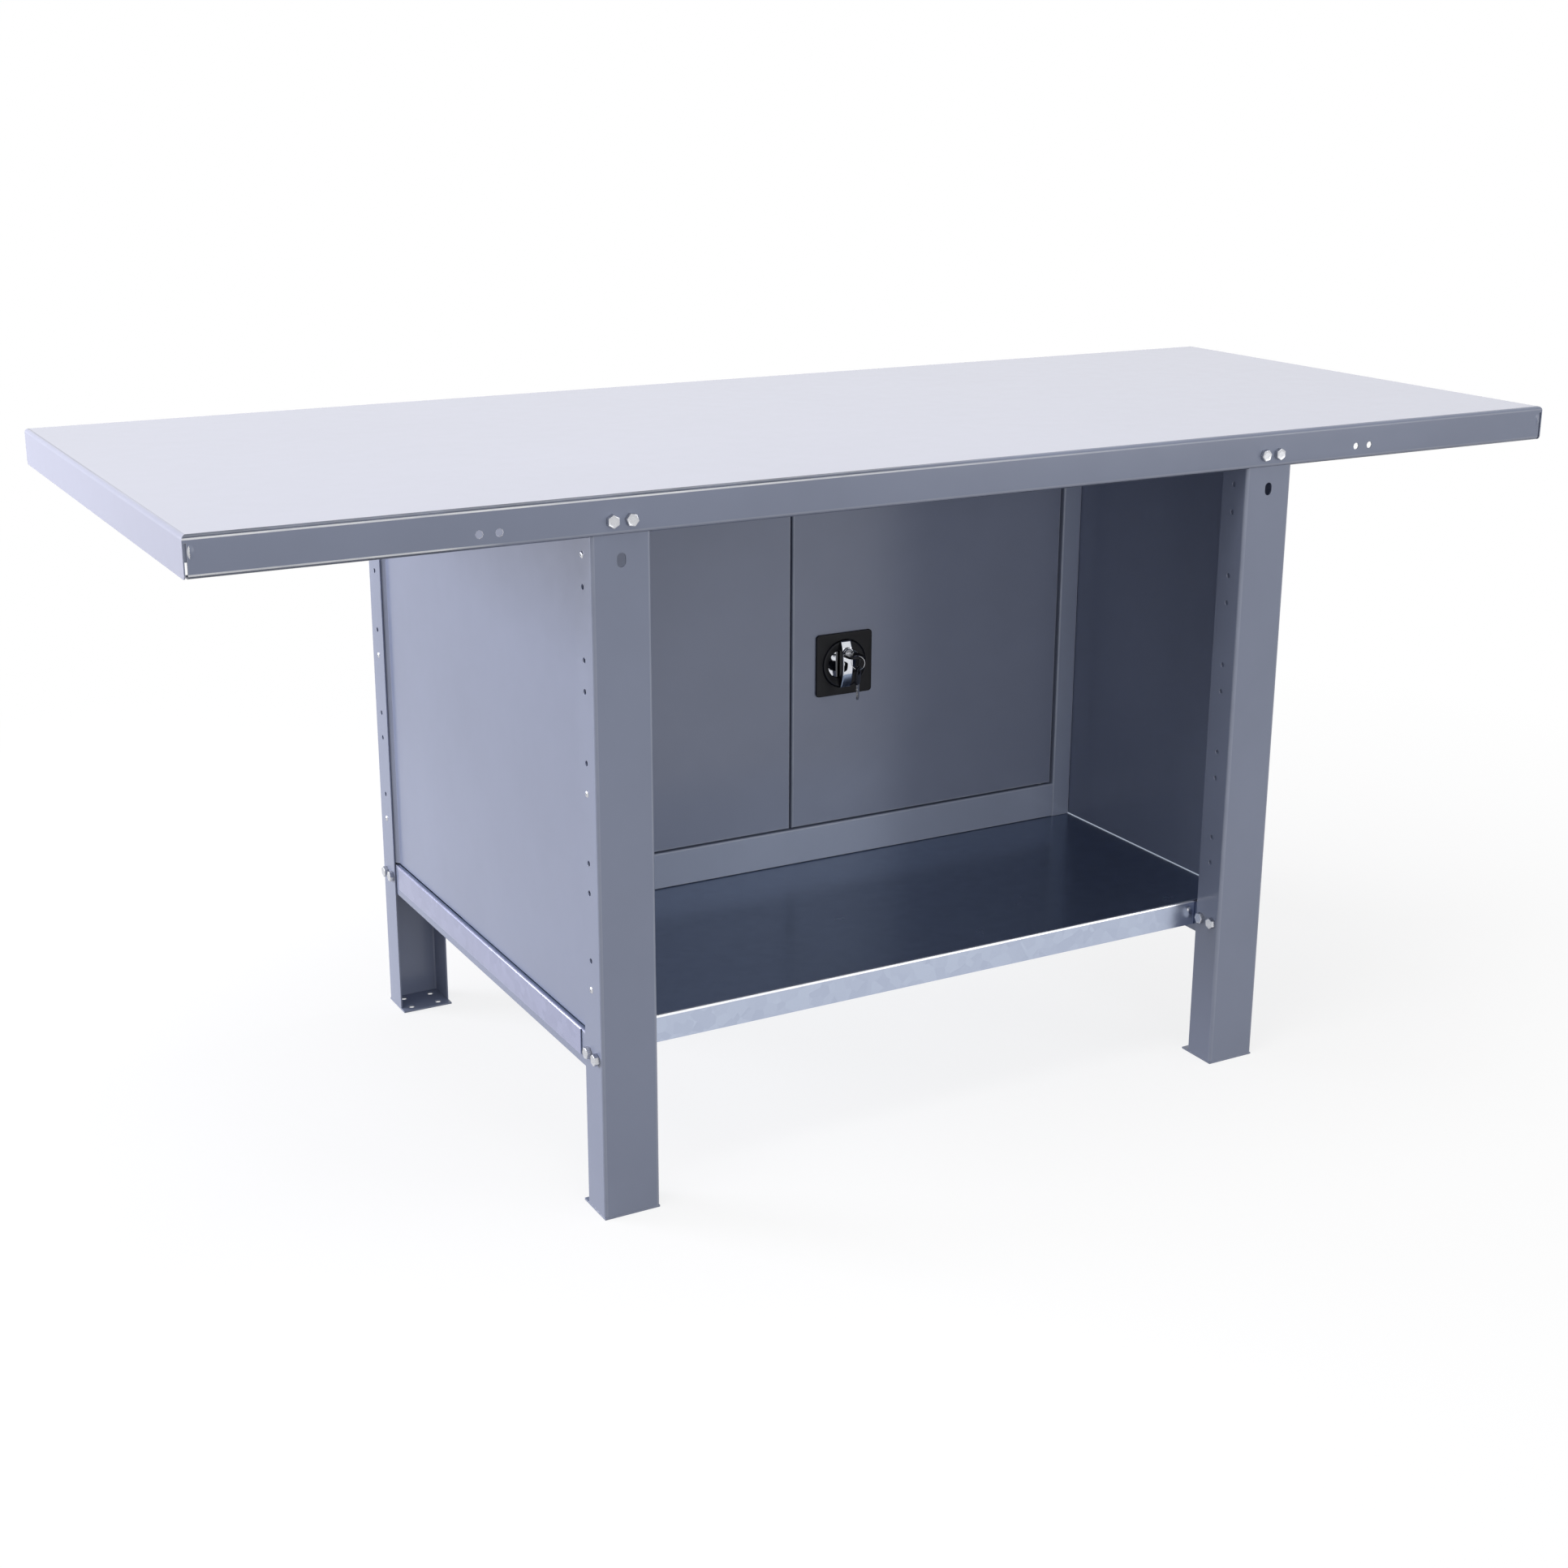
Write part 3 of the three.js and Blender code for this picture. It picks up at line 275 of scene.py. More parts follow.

# The frame's bends are lighter: partly wear, partly a painted highlight.
frame_paint = paint("frame_paint", BLUE, (0.45, 0.48, 0.58), 0.35)
# The apron's bends get a near-white painted highlight, fading to a faint rest towards the right end.
apron_highlight_paint = paint("apron_highlight_paint", BLUE, (0.92, 0.93, 0.96), 1.0, (-0.35, 0.25))
# The worktop's upper face and its ends are paler mixes of the frame's blue: painted light, as these
# faces turn to the lamps.
lit_top_paint = paint("worktop_paint", (0.60, 0.615, 0.74), (0.64, 0.66, 0.76), 0.2, mottle=0.012)
lit_end_paint = paint("worktop_end_paint", (0.41, 0.425, 0.55), (0.52, 0.54, 0.65), 0.3, mottle=0.015)
# The hem's bright line is a painted highlight that fades out near the left end.
hem_highlight_paint = paint("apron_hem_paint", BLUE, (0.95, 0.96, 0.99), 1.0, HEM_FADES)
# The upper fold and the underside of the hem carry that painted dark reflection, fading along the
# bench.
fold_dark_reflection_paint = paint("worktop_fold_paint", SHADED_FOLD_BLUE, PAINTED_DARK_REFLECTION, 1.0, (-0.18, 0.06))
hem_dark_reflection_paint = paint("worktop_hem_paint", SHADED_FOLD_BLUE, PAINTED_DARK_REFLECTION, 1.0, HEM_FADES)
# Rails and posts get a paler mix of the frame's blue: painted light for the light the shelf throws up
# onto them.
lit_rail_paint = paint("lit_rail_paint", (0.39, 0.435, 0.56), (0.60, 0.63, 0.72), 0.4)
# The doors' bends are lighter: partly wear, partly a painted highlight.
door_paint = paint("door_paint", (0.265, 0.295, 0.395), (0.50, 0.54, 0.62), 0.5)
print("paints made")

# %% [markdown]
# ### Galvanised, plated and moulded finishes
# The shelf is bare galvanised sheet, so it is a metal with a spangle. Bolts are bright zinc with a
# little grain. The lock's grip and boss are chrome. Its plate and the keys' bows are black plastic.

# %% Metals and plastic
# Near white for the galvanised bends: a painted highlight.
PAINTED_HIGHLIGHT_ZINC = (0.95, 0.96, 0.98, 1.0)
PLASTIC_SHEEN = 0.22


def galvanised(name, dark, light, metal=1.0):
    material, tree, shader, place = new_material(name)
    frost = use_group(tree, spangle, Place=place, Size=75.0)
    crystal = frost.outputs["Crystal"]
    tone = mix_colour(tree, crystal, (*dark, 1.0), (*light, 1.0))
    final = mix_colour(tree, bend_wear_and_light_mask(tree, place, 1.0), tone, PAINTED_HIGHLIGHT_ZINC)
    dull = ramp(tree, frost.outputs["Bloom"], 0.0, 1.0, 0.21, 0.26)
    rough = math_node(tree, "MULTIPLY_ADD", crystal, 0.02, dull)
    shader.inputs["Metallic"].default_value = metal
    cover(tree, shader, final, rough, crystal, 0.00001, 0.05)
    return material


def plated(name, colour, gloss, grain):
    material, tree, shader, place = new_material(name)
    scratch = noise(tree, place, grain, 4.0)
    haze = ramp(tree, scratch, 0.3, 0.7)
    tone = mix_colour(tree, haze, shade(colour, 0.96), shade(colour, 1.03))
    rough = ramp(tree, haze, 0.0, 1.0, gloss * 0.8, gloss * 1.4)
    shader.inputs["Metallic"].default_value = 1.0
    cover(tree, shader, tone, rough, scratch, 0.00003, 0.1)
    return material


def moulded(name, colour, gloss):
    material, tree, shader, place = new_material(name)
    spray = use_group(tree, coat, Place=place, Peel_Scale=1800.0, Cloud_Scale=40.0)
    tone = mix_colour(tree, spray.outputs["Cloud"], shade(colour, 0.85), shade(colour, 1.2))
    # Bends are three times lighter: partly wear, partly a painted highlight.
    final = mix_colour(tree, bend_wear_and_light_mask(tree, place, 0.5), tone, shade(colour, 3.0))
    rough = ramp(tree, spray.outputs["Smear"], 0.0, 1.0, gloss - 0.05, gloss + 0.06)
    shader.inputs["Specular IOR Level"].default_value = PLASTIC_SHEEN
    cover(tree, shader, final, rough, spray.outputs["Peel"], 0.00004, 0.15)
    return material


# The shelf's flat top, its front lip and its ends are one zinc in three tones: painted shade and
# reflection on the top, which faces the dark under the worktop, and painted light on the lip and
# ends.
shaded_shelf_zinc = galvanised("shelf_galvanised", (0.265, 0.32, 0.42), (0.285, 0.345, 0.45), 0.96)
lit_lip_zinc = galvanised("lip_galvanised", (0.44, 0.49, 0.62), (0.49, 0.545, 0.675))
lit_end_zinc = galvanised("shelf_end_galvanised", (0.355, 0.375, 0.535), (0.395, 0.415, 0.585))
bolt_zinc = plated("bolt_zinc", (0.56, 0.57, 0.60), 0.26, 900.0)
chrome = plated("lock_chrome", (0.66, 0.68, 0.73), 0.05, 400.0)
steel = plated("works_steel", (0.62, 0.62, 0.63), 0.32, 700.0)
bright_wire = plated("ring_wire", (0.84, 0.84, 0.85), 0.15, 900.0)
black = moulded("black_plastic", (0.007, 0.0075, 0.010), 0.34)
print("metals and plastic made")

# %% [markdown]
# ## Sheet metal pieces
# A solid from the frame is loose triangles with knife edges. A copy of it is merged, its flat fields
# are dissolved into single faces, and its sharp edges get a small round. The folds have their
# radius already, so only edges sharper than forty degrees are rounded. Weighted normals keep the
# flat fields even.

# %% Helpers for dressed copies
SHARP = math.radians(40)
SHADED_SHARP = math.radians(34)
SAME_FIELD = math.radians(0.6)
FLAT = math.cos(math.radians(4))
ENDWISE = 0.15


def merged_copy(node):
    bm = bmesh.new()
    bm.from_mesh(solids[node].data)
    bmesh.ops.remove_doubles(bm, verts=bm.verts, dist=0.002 * MM)
    bmesh.ops.dissolve_limit(bm, angle_limit=SAME_FIELD, verts=bm.verts, edges=bm.edges)
    return bm


def sharp_edges(bm, test=lambda edge: True):
    found = [e for e in bm.edges if len(e.link_faces) == 2 and e.calc_face_angle() > SHARP]
    return [e for e in found if test(e)]


def soften(bm, edges, width, segments=3):
    bmesh.ops.bevel(bm, geom=edges, offset=width, offset_type="OFFSET", segments=segments,
                    profile=0.5, affect="EDGES", material=-1, clamp_overlap=True)


def set_bend(bm, face, value):
    layer = bm.loops.layers.float["bend"]
    for loop in face.loops:
        loop[layer] = value


def mark_bends(bm, upper=0.7):
    bm.loops.layers.float.new("bend")
    for face in bm.faces:
        face.normal_update()
        straight = max(abs(v) for v in face.normal) > FLAT or face.normal.z > upper
        set_bend(bm, face, 0.0 if straight else 1.0)


def make_piece(name, bm, body, materials, replaced=(), choose=None):
    if "bend" not in bm.loops.layers.float:
        mark_bends(bm)
    for face in bm.faces:
        face.smooth = True
        if choose:
            face.material_index = choose(face)
    mesh = bpy.data.meshes.new(name)
    bm.to_mesh(mesh)
    bm.free()
    for material in materials:
        mesh.materials.append(material)
    mesh.set_sharp_from_angle(angle=SHADED_SHARP)
    piece = bpy.data.objects.new(name, mesh)
    bpy.context.scene.collection.objects.link(piece)
    even = piece.modifiers.new("even_normals", "WEIGHTED_NORMAL")
    even.keep_sharp = True
    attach(piece, body)
    if replaced:
        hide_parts(*replaced)


def dressed(node, body, materials, round_by=0.3, choose=None, upper=0.7, plain_ends=False):
    bm = merged_copy(node)
    soften(bm, sharp_edges(bm), round_by * MM, 2)
    mark_bends(bm, upper)
    for face in bm.faces:
        if plain_ends and abs(face.normal.x) > ENDWISE:
            set_bend(bm, face, 0.0)
    make_piece(node + "_sheet", bm, body, materials, [node], choose)


print("sheet helpers ready")

# %% [markdown]
# ### Worktop, legs, rails and panels
# The worktop's upper face and ends face the light and look much paler than its apron, as the sheen
# of the paint does on a broad surface. They get a paler mix of the same paint, which is painted
# light, the rest the frame's. The long folds roll from the dark of the room to the light, so the
# upper one shows a dark line over a bright one, and the lower one, the hem, a bright line over a dark
# one.
# Both lines are painted: the dark part of each fold has a darker mix, a painted dark reflection, and
# the bright part a near-white painted highlight. They fade along the bench. The hem's lines fade out
# first.
# The solids of the side panels leave a slit over the shelf. Their lower edge is drawn down until
# only a thin line is left, as on the real bench.

# %% Worktop and frame
TOP_SKIN, UPPER_FOLD = 838 * MM, 834 * MM
HEM_TOP, HEM_BEND = 806 * MM, 800 * MM
END_FACE, END_FOLD = 899 * MM, 894.9 * MM
STEEP = 0.5
PANEL_DROP = 3.4 * MM
SIDES = ("left", "right")
PLACES = [f"{end}_{side}" for end in ("front", "rear") for side in SIDES]

# Faces of the worktop take the paler painted-light mixes and the painted fold lines by where they
# lie.
worktop_paints = [apron_highlight_paint, lit_top_paint, lit_end_paint, fold_dark_reflection_paint, hem_highlight_paint, hem_dark_reflection_paint]
APRON, TOP, END, FOLD, HEM, UNDER = range(len(worktop_paints))
# The shelf's faces take these painted light and shade tones by the way they face.
shelf_zincs = [lit_lip_zinc, shaded_shelf_zinc, lit_end_zinc]
LIP, SHELF, SHELF_END = range(len(shelf_zincs))


def worktop_face(face):
    middle = face.calc_center_median()
    rise = face.normal.z
    if rise > FLAT and middle.z > TOP_SKIN:
        return TOP
    if abs(middle.x) > END_FACE or abs(middle.x) > END_FOLD and middle.z > UPPER_FOLD:
        return END
    if middle.z < HEM_TOP:
        return UNDER if -FLAT < rise < -STEEP and middle.z < HEM_BEND else HEM
    return FOLD if rise > STEEP and middle.z > UPPER_FOLD else APRON


def shelf_face(face):
    if face.normal.z > FLAT:
        return SHELF
    return SHELF_END if abs(face.normal.x) > ENDWISE else LIP


def lowered_panel(node):
    bm = merged_copy(node)
    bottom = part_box(node)[0].z + 0.5 * MM
    lowest = [v for v in bm.verts if v.co.z < bottom]
    bmesh.ops.translate(bm, verts=lowest, vec=(0, 0, -PANEL_DROP))
    soften(bm, sharp_edges(bm), 0.3 * MM, 2)
    make_piece(node + "_sheet", bm, "bench", [frame_paint], [node])


dressed("worktop", "bench", worktop_paints, 0.4, worktop_face, 1.0)
for place in PLACES:
    dressed("leg_" + place, "bench", [frame_paint], 0.35)
    dressed("foot_plate_" + place, "bench", [frame_paint], 0.5)
for side in SIDES:
    for kind in ("top_stiffener_", "cross_rail_"):
        dressed(kind + side, "bench", [frame_paint])
    dressed("cabinet_post_" + side, "bench", [lit_rail_paint])
    lowered_panel("side_panel_" + side)
dressed("back_panel", "bench", [frame_paint])
for node in ("cabinet_base_rail", "cabinet_top_rail"):
    dressed(node, "bench", [lit_rail_paint])
dressed("shelf", "bench", shelf_zincs, 0.3, shelf_face, 1.0, plain_ends=True)
for side in SIDES:
    dressed("door_" + side, side + "_door", [door_paint], 0.25)
print("sheet metal dressed")

# %% [markdown]
# ## Bolts
# Sixteen hexagon bolts hold the bench together. A head is a six-sided disc whose rim is chamfered
# and whose face is slightly hollow, over a round washer face. Behind the sheet come the shank, a nut
# and the end of the thread. One function makes the bolt along Z, and a matrix puts it in its hole.

# %% Hexagon bolts
IN_MM = Matrix.Scale(MM, 4)
HEX_RADIUS = 13 / math.sqrt(3)
HEAD, NUT, THREAD_END = 5.3, 6.8, 3.0
WASHER_RADIUS, SHANK_RADIUS, THREAD_RADIUS = 5.9, 3.9, 4.0
THREAD_PITCH, THREAD_TOOTH = 0.9, 0.5
HOLLOW, HOLLOW_RIM = 0.25, 1.2


def pull(bm, faces, height):
    raised = bmesh.ops.extrude_face_region(bm, geom=faces)["geom"]
    moved = [v for v in raised if isinstance(v, bmesh.types.BMVert)]
    bmesh.ops.translate(bm, verts=moved, vec=(0, 0, height))
    return moved


def hexagon(bm, bottom, top, chamfer):
    ring = bmesh.ops.create_circle(bm, cap_ends=True, segments=6, radius=HEX_RADIUS)["verts"]
    bmesh.ops.translate(bm, verts=ring, vec=(0, 0, bottom))
    lid = set(pull(bm, list(ring[0].link_faces), top - bottom))
    soften(bm, [e for e in bm.edges if lid.issuperset(e.verts)], chamfer, 2)


def hollow_head(bm):
    # The second, level step leaves a ring of faces round the middle of the hollow
    for depth in (HOLLOW, 0.0):
        face = max((f for f in bm.faces if len(f.verts) == 6 and abs(f.normal.z) > 0.9),
                   key=lambda f: f.calc_center_median().z)
        bmesh.ops.inset_region(bm, faces=[face], thickness=HOLLOW_RIM, depth=-depth)


def tube(bm, radius, bottom, top):
    made = bmesh.ops.create_cone(bm, cap_ends=True, segments=20, radius1=radius, radius2=radius,
                                 depth=top - bottom)
    bmesh.ops.translate(bm, verts=made["verts"], vec=(0, 0, (top + bottom) / 2))


def hexagon_bolt(node, axis, turn):
    low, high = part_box(node)
    index = "XYZ".index(axis[-1])
    backward = axis[0] == "-"
    nut_base = (high[index] - low[index]) / MM - HEAD - NUT - THREAD_END
    bm = bmesh.new()
    hexagon(bm, 0.0, HEAD, 1.0)
    tube(bm, WASHER_RADIUS, -0.3, 0.0)
    tube(bm, SHANK_RADIUS, -nut_base - NUT - THREAD_END, -0.2)
    hexagon(bm, -nut_base - NUT, -nut_base, 0.9)
    hollow_head(bm)
    for tooth in range(3):
        start = -nut_base - NUT - 0.2 - tooth * THREAD_PITCH
        tube(bm, THREAD_RADIUS, start - THREAD_TOOTH, start)
    bmesh.ops.recalc_face_normals(bm, faces=bm.faces)
    facing = Vector((0, 0, 0))
    facing[index] = -1.0 if backward else 1.0
    seat = (low + high) / 2
    seat[index] = low[index] + HEAD * MM if backward else high[index] - HEAD * MM
    swing = facing.to_track_quat("Z", "Y").to_matrix().to_4x4()
    bm.transform(Matrix.Translation(seat) @ swing @ Matrix.Rotation(turn, 4, "Z") @ IN_MM)
    make_piece(node + "_hex", bm, "bench", [bolt_zinc], [node])


count = 0
for place in PLACES:
    apron_axis = "-Y" if place.startswith("front") else "Y"
    for number in ("1", "2"):
        hexagon_bolt(f"apron_bolt_{place}_{number}", apron_axis, 0.35 * count)
        hexagon_bolt(f"rail_bolt_{place}_{number}", "-X", 0.2 + 0.5 * count)
        count += 1
print(2 * count, "bolts")

# %% [markdown]
# ## Rivets of the side panels
# Blind rivets fix each side panel behind the leg flanges. A rivet's head is a low dome with a hollow
# where its pin broke off. Its half section is spun once, and copies of the mesh go into the holes.

# %% Panel rivets
RIVET_SECTION = [(0, 0.3), (1.2, 0.3), (1.35, 1.25), (2.3, 1.2), (3.4, 0.75), (4.0, 0.05),
                 (3.1, 0.0), (3.1, -5.0), (0, -5.2)]
FLANGE_X, RIVET_Y = 475, 339
RIVET_HEIGHTS = (277, 508, 774)


def spun(section, steps=96, closed=False):
    bm = bmesh.new()
    ring = [bm.verts.new((radius, 0, height)) for radius, height in section]
    pairs = zip(ring, ring[1:] + ring[:1] if closed else ring[1:])
    edges = [bm.edges.new(pair) for pair in pairs]
    bmesh.ops.spin(bm, geom=ring + edges, cent=(0, 0, 0), axis=(0, 0, 1), angle=2 * math.pi,
                   steps=steps, use_merge=True)
    bmesh.ops.remove_doubles(bm, verts=bm.verts, dist=0.001)
    bmesh.ops.recalc_face_normals(bm, faces=bm.faces)
    return bm


def add_copy(bm, pattern, place):
    mesh = bpy.data.meshes.new("pattern")
    pattern.to_mesh(mesh)
    mesh.transform(place)
    bm.from_mesh(mesh)
    bpy.data.meshes.remove(mesh)


def join(bm, pattern):
    add_copy(bm, pattern, Matrix.Identity(4))
    pattern.free()


def at(x, y, z):
    return Matrix.Translation((x * MM, y * MM, z * MM))


rivet = spun(RIVET_SECTION, 20)
rivets = bmesh.new()
for side in (-1, 1):
    outward = Matrix.Rotation(side * math.pi / 2, 4, "Y")
    for depth in (-RIVET_Y, RIVET_Y):
        for height in RIVET_HEIGHTS:
            add_copy(rivets, rivet, at(side * FLANGE_X, depth, height) @ outward @ IN_MM)
rivet.free()
make_piece("panel_rivets", rivets, "bench", [bolt_zinc], ())
print("12 rivets")

# %% [markdown]
# ## Corners of the worktop
# The apron is tacked to a tab inside each corner. The tack pulls a shallow swelling into the face
# near the slit. It is a spun lens, squeezed to an upright oval, with a painted highlight on the
# slit's side. The tab behind the slit is a plate with round edges.
# The same lens, made small, serves for the weld dimples near the ends of the shelf's lips.

# %% Worktop corner tacks and tabs
LENS_SECTION = [(0, 1.5), (1.5, 1.42), (3, 1.15), (4.5, 0.72), (6, 0.3), (7.5, 0.05), (8.5, -0.1),
                (8.5, -0.6), (0, -0.6)]
TAB_SIZE = (12.0, 1.2, 24.0)
TACK_PLACE, TAB_PLACE, DIMPLE_PLACE = (891.8, 365, 823), (892, 362.6, 825), (394, 315.2, 206)
TACK_SQUEEZE = Matrix.Diagonal((0.45, 0.9, 0.7, 1.0))
DIMPLE_SIZE = 0.36
HIGHLIT_FROM = 893 * MM

lens = spun(LENS_SECTION, 40)
tab = bmesh.new()
bmesh.ops.create_cube(tab, size=1.0)
bmesh.ops.scale(tab, verts=tab.verts, vec=TAB_SIZE)
soften(tab, list(tab.edges), 0.3, 2)
tacks, tabs, dimples = bmesh.new(), bmesh.new(), bmesh.new()
for side in (-1, 1):
    for end in (-1, 1):
        outward = Matrix.Rotation(end * -math.pi / 2, 4, "X")
        tack_spot, tab_spot, dimple_spot = (
            at(side * x, end * y, z) for x, y, z in (TACK_PLACE, TAB_PLACE, DIMPLE_PLACE))
        add_copy(tacks, lens, tack_spot @ outward @ TACK_SQUEEZE @ IN_MM)
        add_copy(tabs, tab, tab_spot @ IN_MM)
        add_copy(dimples, lens, dimple_spot @ outward @ Matrix.Scale(DIMPLE_SIZE * MM, 4))
lens.free()
tab.free()
mark_bends(tacks)
# Faces of the lens on the slit's side get the painted highlight, faded along the bench.
for face in tacks.faces:
    set_bend(tacks, face, 1.0 if abs(face.calc_center_median().x) > HIGHLIT_FROM else 0.0)
make_piece("corner_tacks", tacks, "bench", [apron_highlight_paint], ())
make_piece("corner_tabs", tabs, "bench", [frame_paint], ())
make_piece("lip_dimples", dimples, "bench", [lit_lip_zinc], ())
print("4 tacks, 4 tabs and 4 dimples")

# %% [markdown]
# ## Lock
# The lock is a black square plate with a turning rotor in it. The rotor has a window for the
# fingers, round at both ends. A chrome boss fills the window, and a chrome grip bridges it. The
# rotor starts as two loops, a circle and the window, which are bridged. The flat ring is then
# pulled to its thickness.

# %% Rotor
OUTWARD = Matrix(((1, 0, 0, 0), (0, 0, -1, 0), (0, 1, 0, 0), (0, 0, 0, 1)))
LOCK_PLACE = at(80, 55, 494) @ OUTWARD @ IN_MM
WINDOW_WIDTH, WINDOW_HEIGHT = 51.0, 38.0
ROTOR_RADIUS, ROTOR_DEPTH, ROTOR_BACK = 33.0, 12.2, -7.7
PAN_SECTION = [(6.0, -7.6), (24, -7.6), (24, -6.75), (6.0, -6.75)]


def rounded_outline(bm, half_width, half_height, corner, segments, up=0.0):
    verts = bmesh.ops.create_grid(bm, x_segments=1, y_segments=1, size=1.0)["verts"]
    bmesh.ops.scale(bm, verts=verts, vec=(half_width, half_height, 1))
    bmesh.ops.translate(bm, verts=verts, vec=(0, up, 0))
    bmesh.ops.bevel(bm, geom=verts, offset=corner, offset_type="OFFSET", segments=segments,
                    profile=0.5, affect="VERTICES", material=-1, clamp_overlap=False)


def window(bm, play=0.0):
    half_height = (WINDOW_HEIGHT - play) / 2
    rounded_outline(bm, (WINDOW_WIDTH - play) / 2, half_height, half_height - 0.05, 16)


def fill_between(bm):
    bmesh.ops.delete(bm, geom=list(bm.faces), context="FACES_ONLY")
    bmesh.ops.bridge_loops(bm, edges=list(bm.edges))


def on_rotor_rim(vert):
    return vert.co.xy.length > ROTOR_RADIUS - 0.1 and vert.co.z > ROTOR_DEPTH - 0.2


rotor = bmesh.new()
window(rotor)
bmesh.ops.create_circle(rotor, cap_ends=False, segments=96, radius=ROTOR_RADIUS)
fill_between(rotor)
crest = set(pull(rotor, list(rotor.faces), ROTOR_DEPTH))
bmesh.ops.recalc_face_normals(rotor, faces=rotor.faces)
window_rim = sharp_edges(
    rotor, lambda e: crest.issuperset(e.verts) and not on_rotor_rim(e.verts[0]))
soften(rotor, window_rim, 0.7)
soften(rotor, sharp_edges(rotor, lambda e: all(on_rotor_rim(v) for v in e.verts)), 2.6, 4)
bmesh.ops.translate(rotor, verts=rotor.verts, vec=(0, 0, ROTOR_BACK))
join(rotor, spun(PAN_SECTION, closed=True))
rotor.transform(LOCK_PLACE)
make_piece("lock_rotor_disc", rotor, "handle", [black], ["lock_rotor"])
print("rotor")

# %% [markdown]
# ### Boss
# The boss is the window's outline with a little play. Insets fill it with rings, so that its upper
# skin can follow a sphere.

# %% Boss
WINDOW_PLAY = 0.6
BOSS_RINGS, RING_STEP = 17, 1.05
BOSS_CURVE, BOSS_CROWN, BOSS_BACK = 60.0, 4.4, -6.4

boss = bmesh.new()
window(boss, WINDOW_PLAY)
bmesh.ops.subdivide_edges(boss, edges=[e for e in boss.edges if e.calc_length() > 5], cuts=8)
for _ in range(BOSS_RINGS):
    core = min(boss.faces, key=lambda f: f.calc_center_median().length + (len(f.verts) < 10))
    bmesh.ops.inset_region(boss, faces=[core], thickness=RING_STEP)
under = list(boss.verts)
dome = pull(boss, list(boss.faces), BOSS_CROWN - BOSS_BACK)
for vert in dome:
    fall = BOSS_CURVE - math.sqrt(BOSS_CURVE ** 2 - vert.co.xy.length_squared)
    vert.co.z = BOSS_CROWN - fall
for vert in under:
    vert.co.z = BOSS_BACK
bmesh.ops.recalc_face_normals(boss, faces=boss.faces)
boss.transform(LOCK_PLACE)
make_piece("lock_boss_dome", boss, "handle", [chrome], ["lock_boss"])
print("boss")

# %% [markdown]
# ### Lock plate
# The plate is a rounded square with a round mouth for the rotor. A loop for each outline is made and
# the two are bridged, which leaves a clean ring of faces. It is pulled up to its thickness and its
# rims are rounded. A sleeve behind it carries the rotor.

# %% Lock plate
PLATE_HALF, PLATE_CORNER, PLATE_THICK, PLATE_BACK = 43.0, 5.0, 3.2, 0.3
MOUTH_RADIUS = 33.3
SLEEVE_SECTION = [(30.1, -9), (35.1, -9), (35.1, 1.8), (MOUTH_RADIUS, 1.8), (MOUTH_RADIUS, -8),
                  (30.1, -8)]

plate = bmesh.new()
rounded_outline(plate, PLATE_HALF, PLATE_HALF, PLATE_CORNER, 8)
bmesh.ops.create_circle(plate, cap_ends=False, segments=96, radius=MOUTH_RADIUS)
fill_between(plate)
pull(plate, list(plate.faces), PLATE_THICK)
bmesh.ops.recalc_face_normals(plate, faces=plate.faces)
soften(plate, sharp_edges(plate, lambda e: min(v.co.z for v in e.verts) > PLATE_THICK - 0.2), 1.1)
bmesh.ops.translate(plate, verts=plate.verts, vec=(0, 0, PLATE_BACK))
join(plate, spun(SLEEVE_SECTION, closed=True))
plate.transform(LOCK_PLACE)
make_piece("lock_plate_square", plate, "right_door", [black], ["lock_plate"])
print("lock plate")

# %% [markdown]
# ### Grip and cylinder
# The grip is an arch that bridges the window. It starts as a flat grid, which is pulled up, and its
# upper skin then rises to the arch. Its shoulders get a wide round, which catches the light as two
# bright lines. Its flat flanks are black plastic instead of chrome: painted shade for the dark that
# chrome sides reflect. A collar frames the spun plug of the lock.

# %% Grip and cylinder
PLUG_PLACE = at(80, 55, 510) @ OUTWARD @ IN_MM
GRIP_HALF_WIDTH, GRIP_REACH, GRIP_RISE = 8.0, 32.5, 7.5
GRIP_BACK, GRIP_CROWN = 4.8, 14.5
ARCH_RADIUS = (GRIP_REACH ** 2 + GRIP_RISE ** 2) / (2 * GRIP_RISE)
COLLAR_SECTION = [(6.3, 11.0), (8.2, 11.0), (8.2, 13.4), (7.8, 13.9), (6.8, 13.9), (6.3, 13.4)]
PLUG_SECTION = [(0, 4.8), (6, 4.8), (6, 14.1), (5.5, 14.6), (4.9, 14.6), (4.6, 14.2), (0, 14.2)]
CHROME_SKIN, SHADED_FLANK = 0, 1


# Flat flanks get the black: painted shade standing in for dark reflections in the chrome.
def grip_face(face):
    flank = abs(face.normal.x) > 0.9 and face.calc_area() > MM * MM
    return SHADED_FLANK if flank else CHROME_SKIN


grip = bmesh.new()
bmesh.ops.create_grid(grip, x_segments=8, y_segments=48, size=1.0)
bmesh.ops.scale(grip, verts=grip.verts, vec=(GRIP_HALF_WIDTH, GRIP_REACH, 1.0))
bmesh.ops.translate(grip, verts=grip.verts, vec=(0, 0, GRIP_BACK))
crown = set(pull(grip, list(grip.faces), 1.0))
for vert in crown:
    vert.co.z = GRIP_CROWN - ARCH_RADIUS + math.sqrt(ARCH_RADIUS ** 2 - vert.co.y ** 2)
bmesh.ops.recalc_face_normals(grip, faces=grip.faces)
soften(grip, sharp_edges(grip, lambda e: crown.issuperset(e.verts)), 1.4)
grip.transform(LOCK_PLACE)
collar = spun(COLLAR_SECTION, 48, closed=True)
collar.transform(PLUG_PLACE)
join(grip, collar)
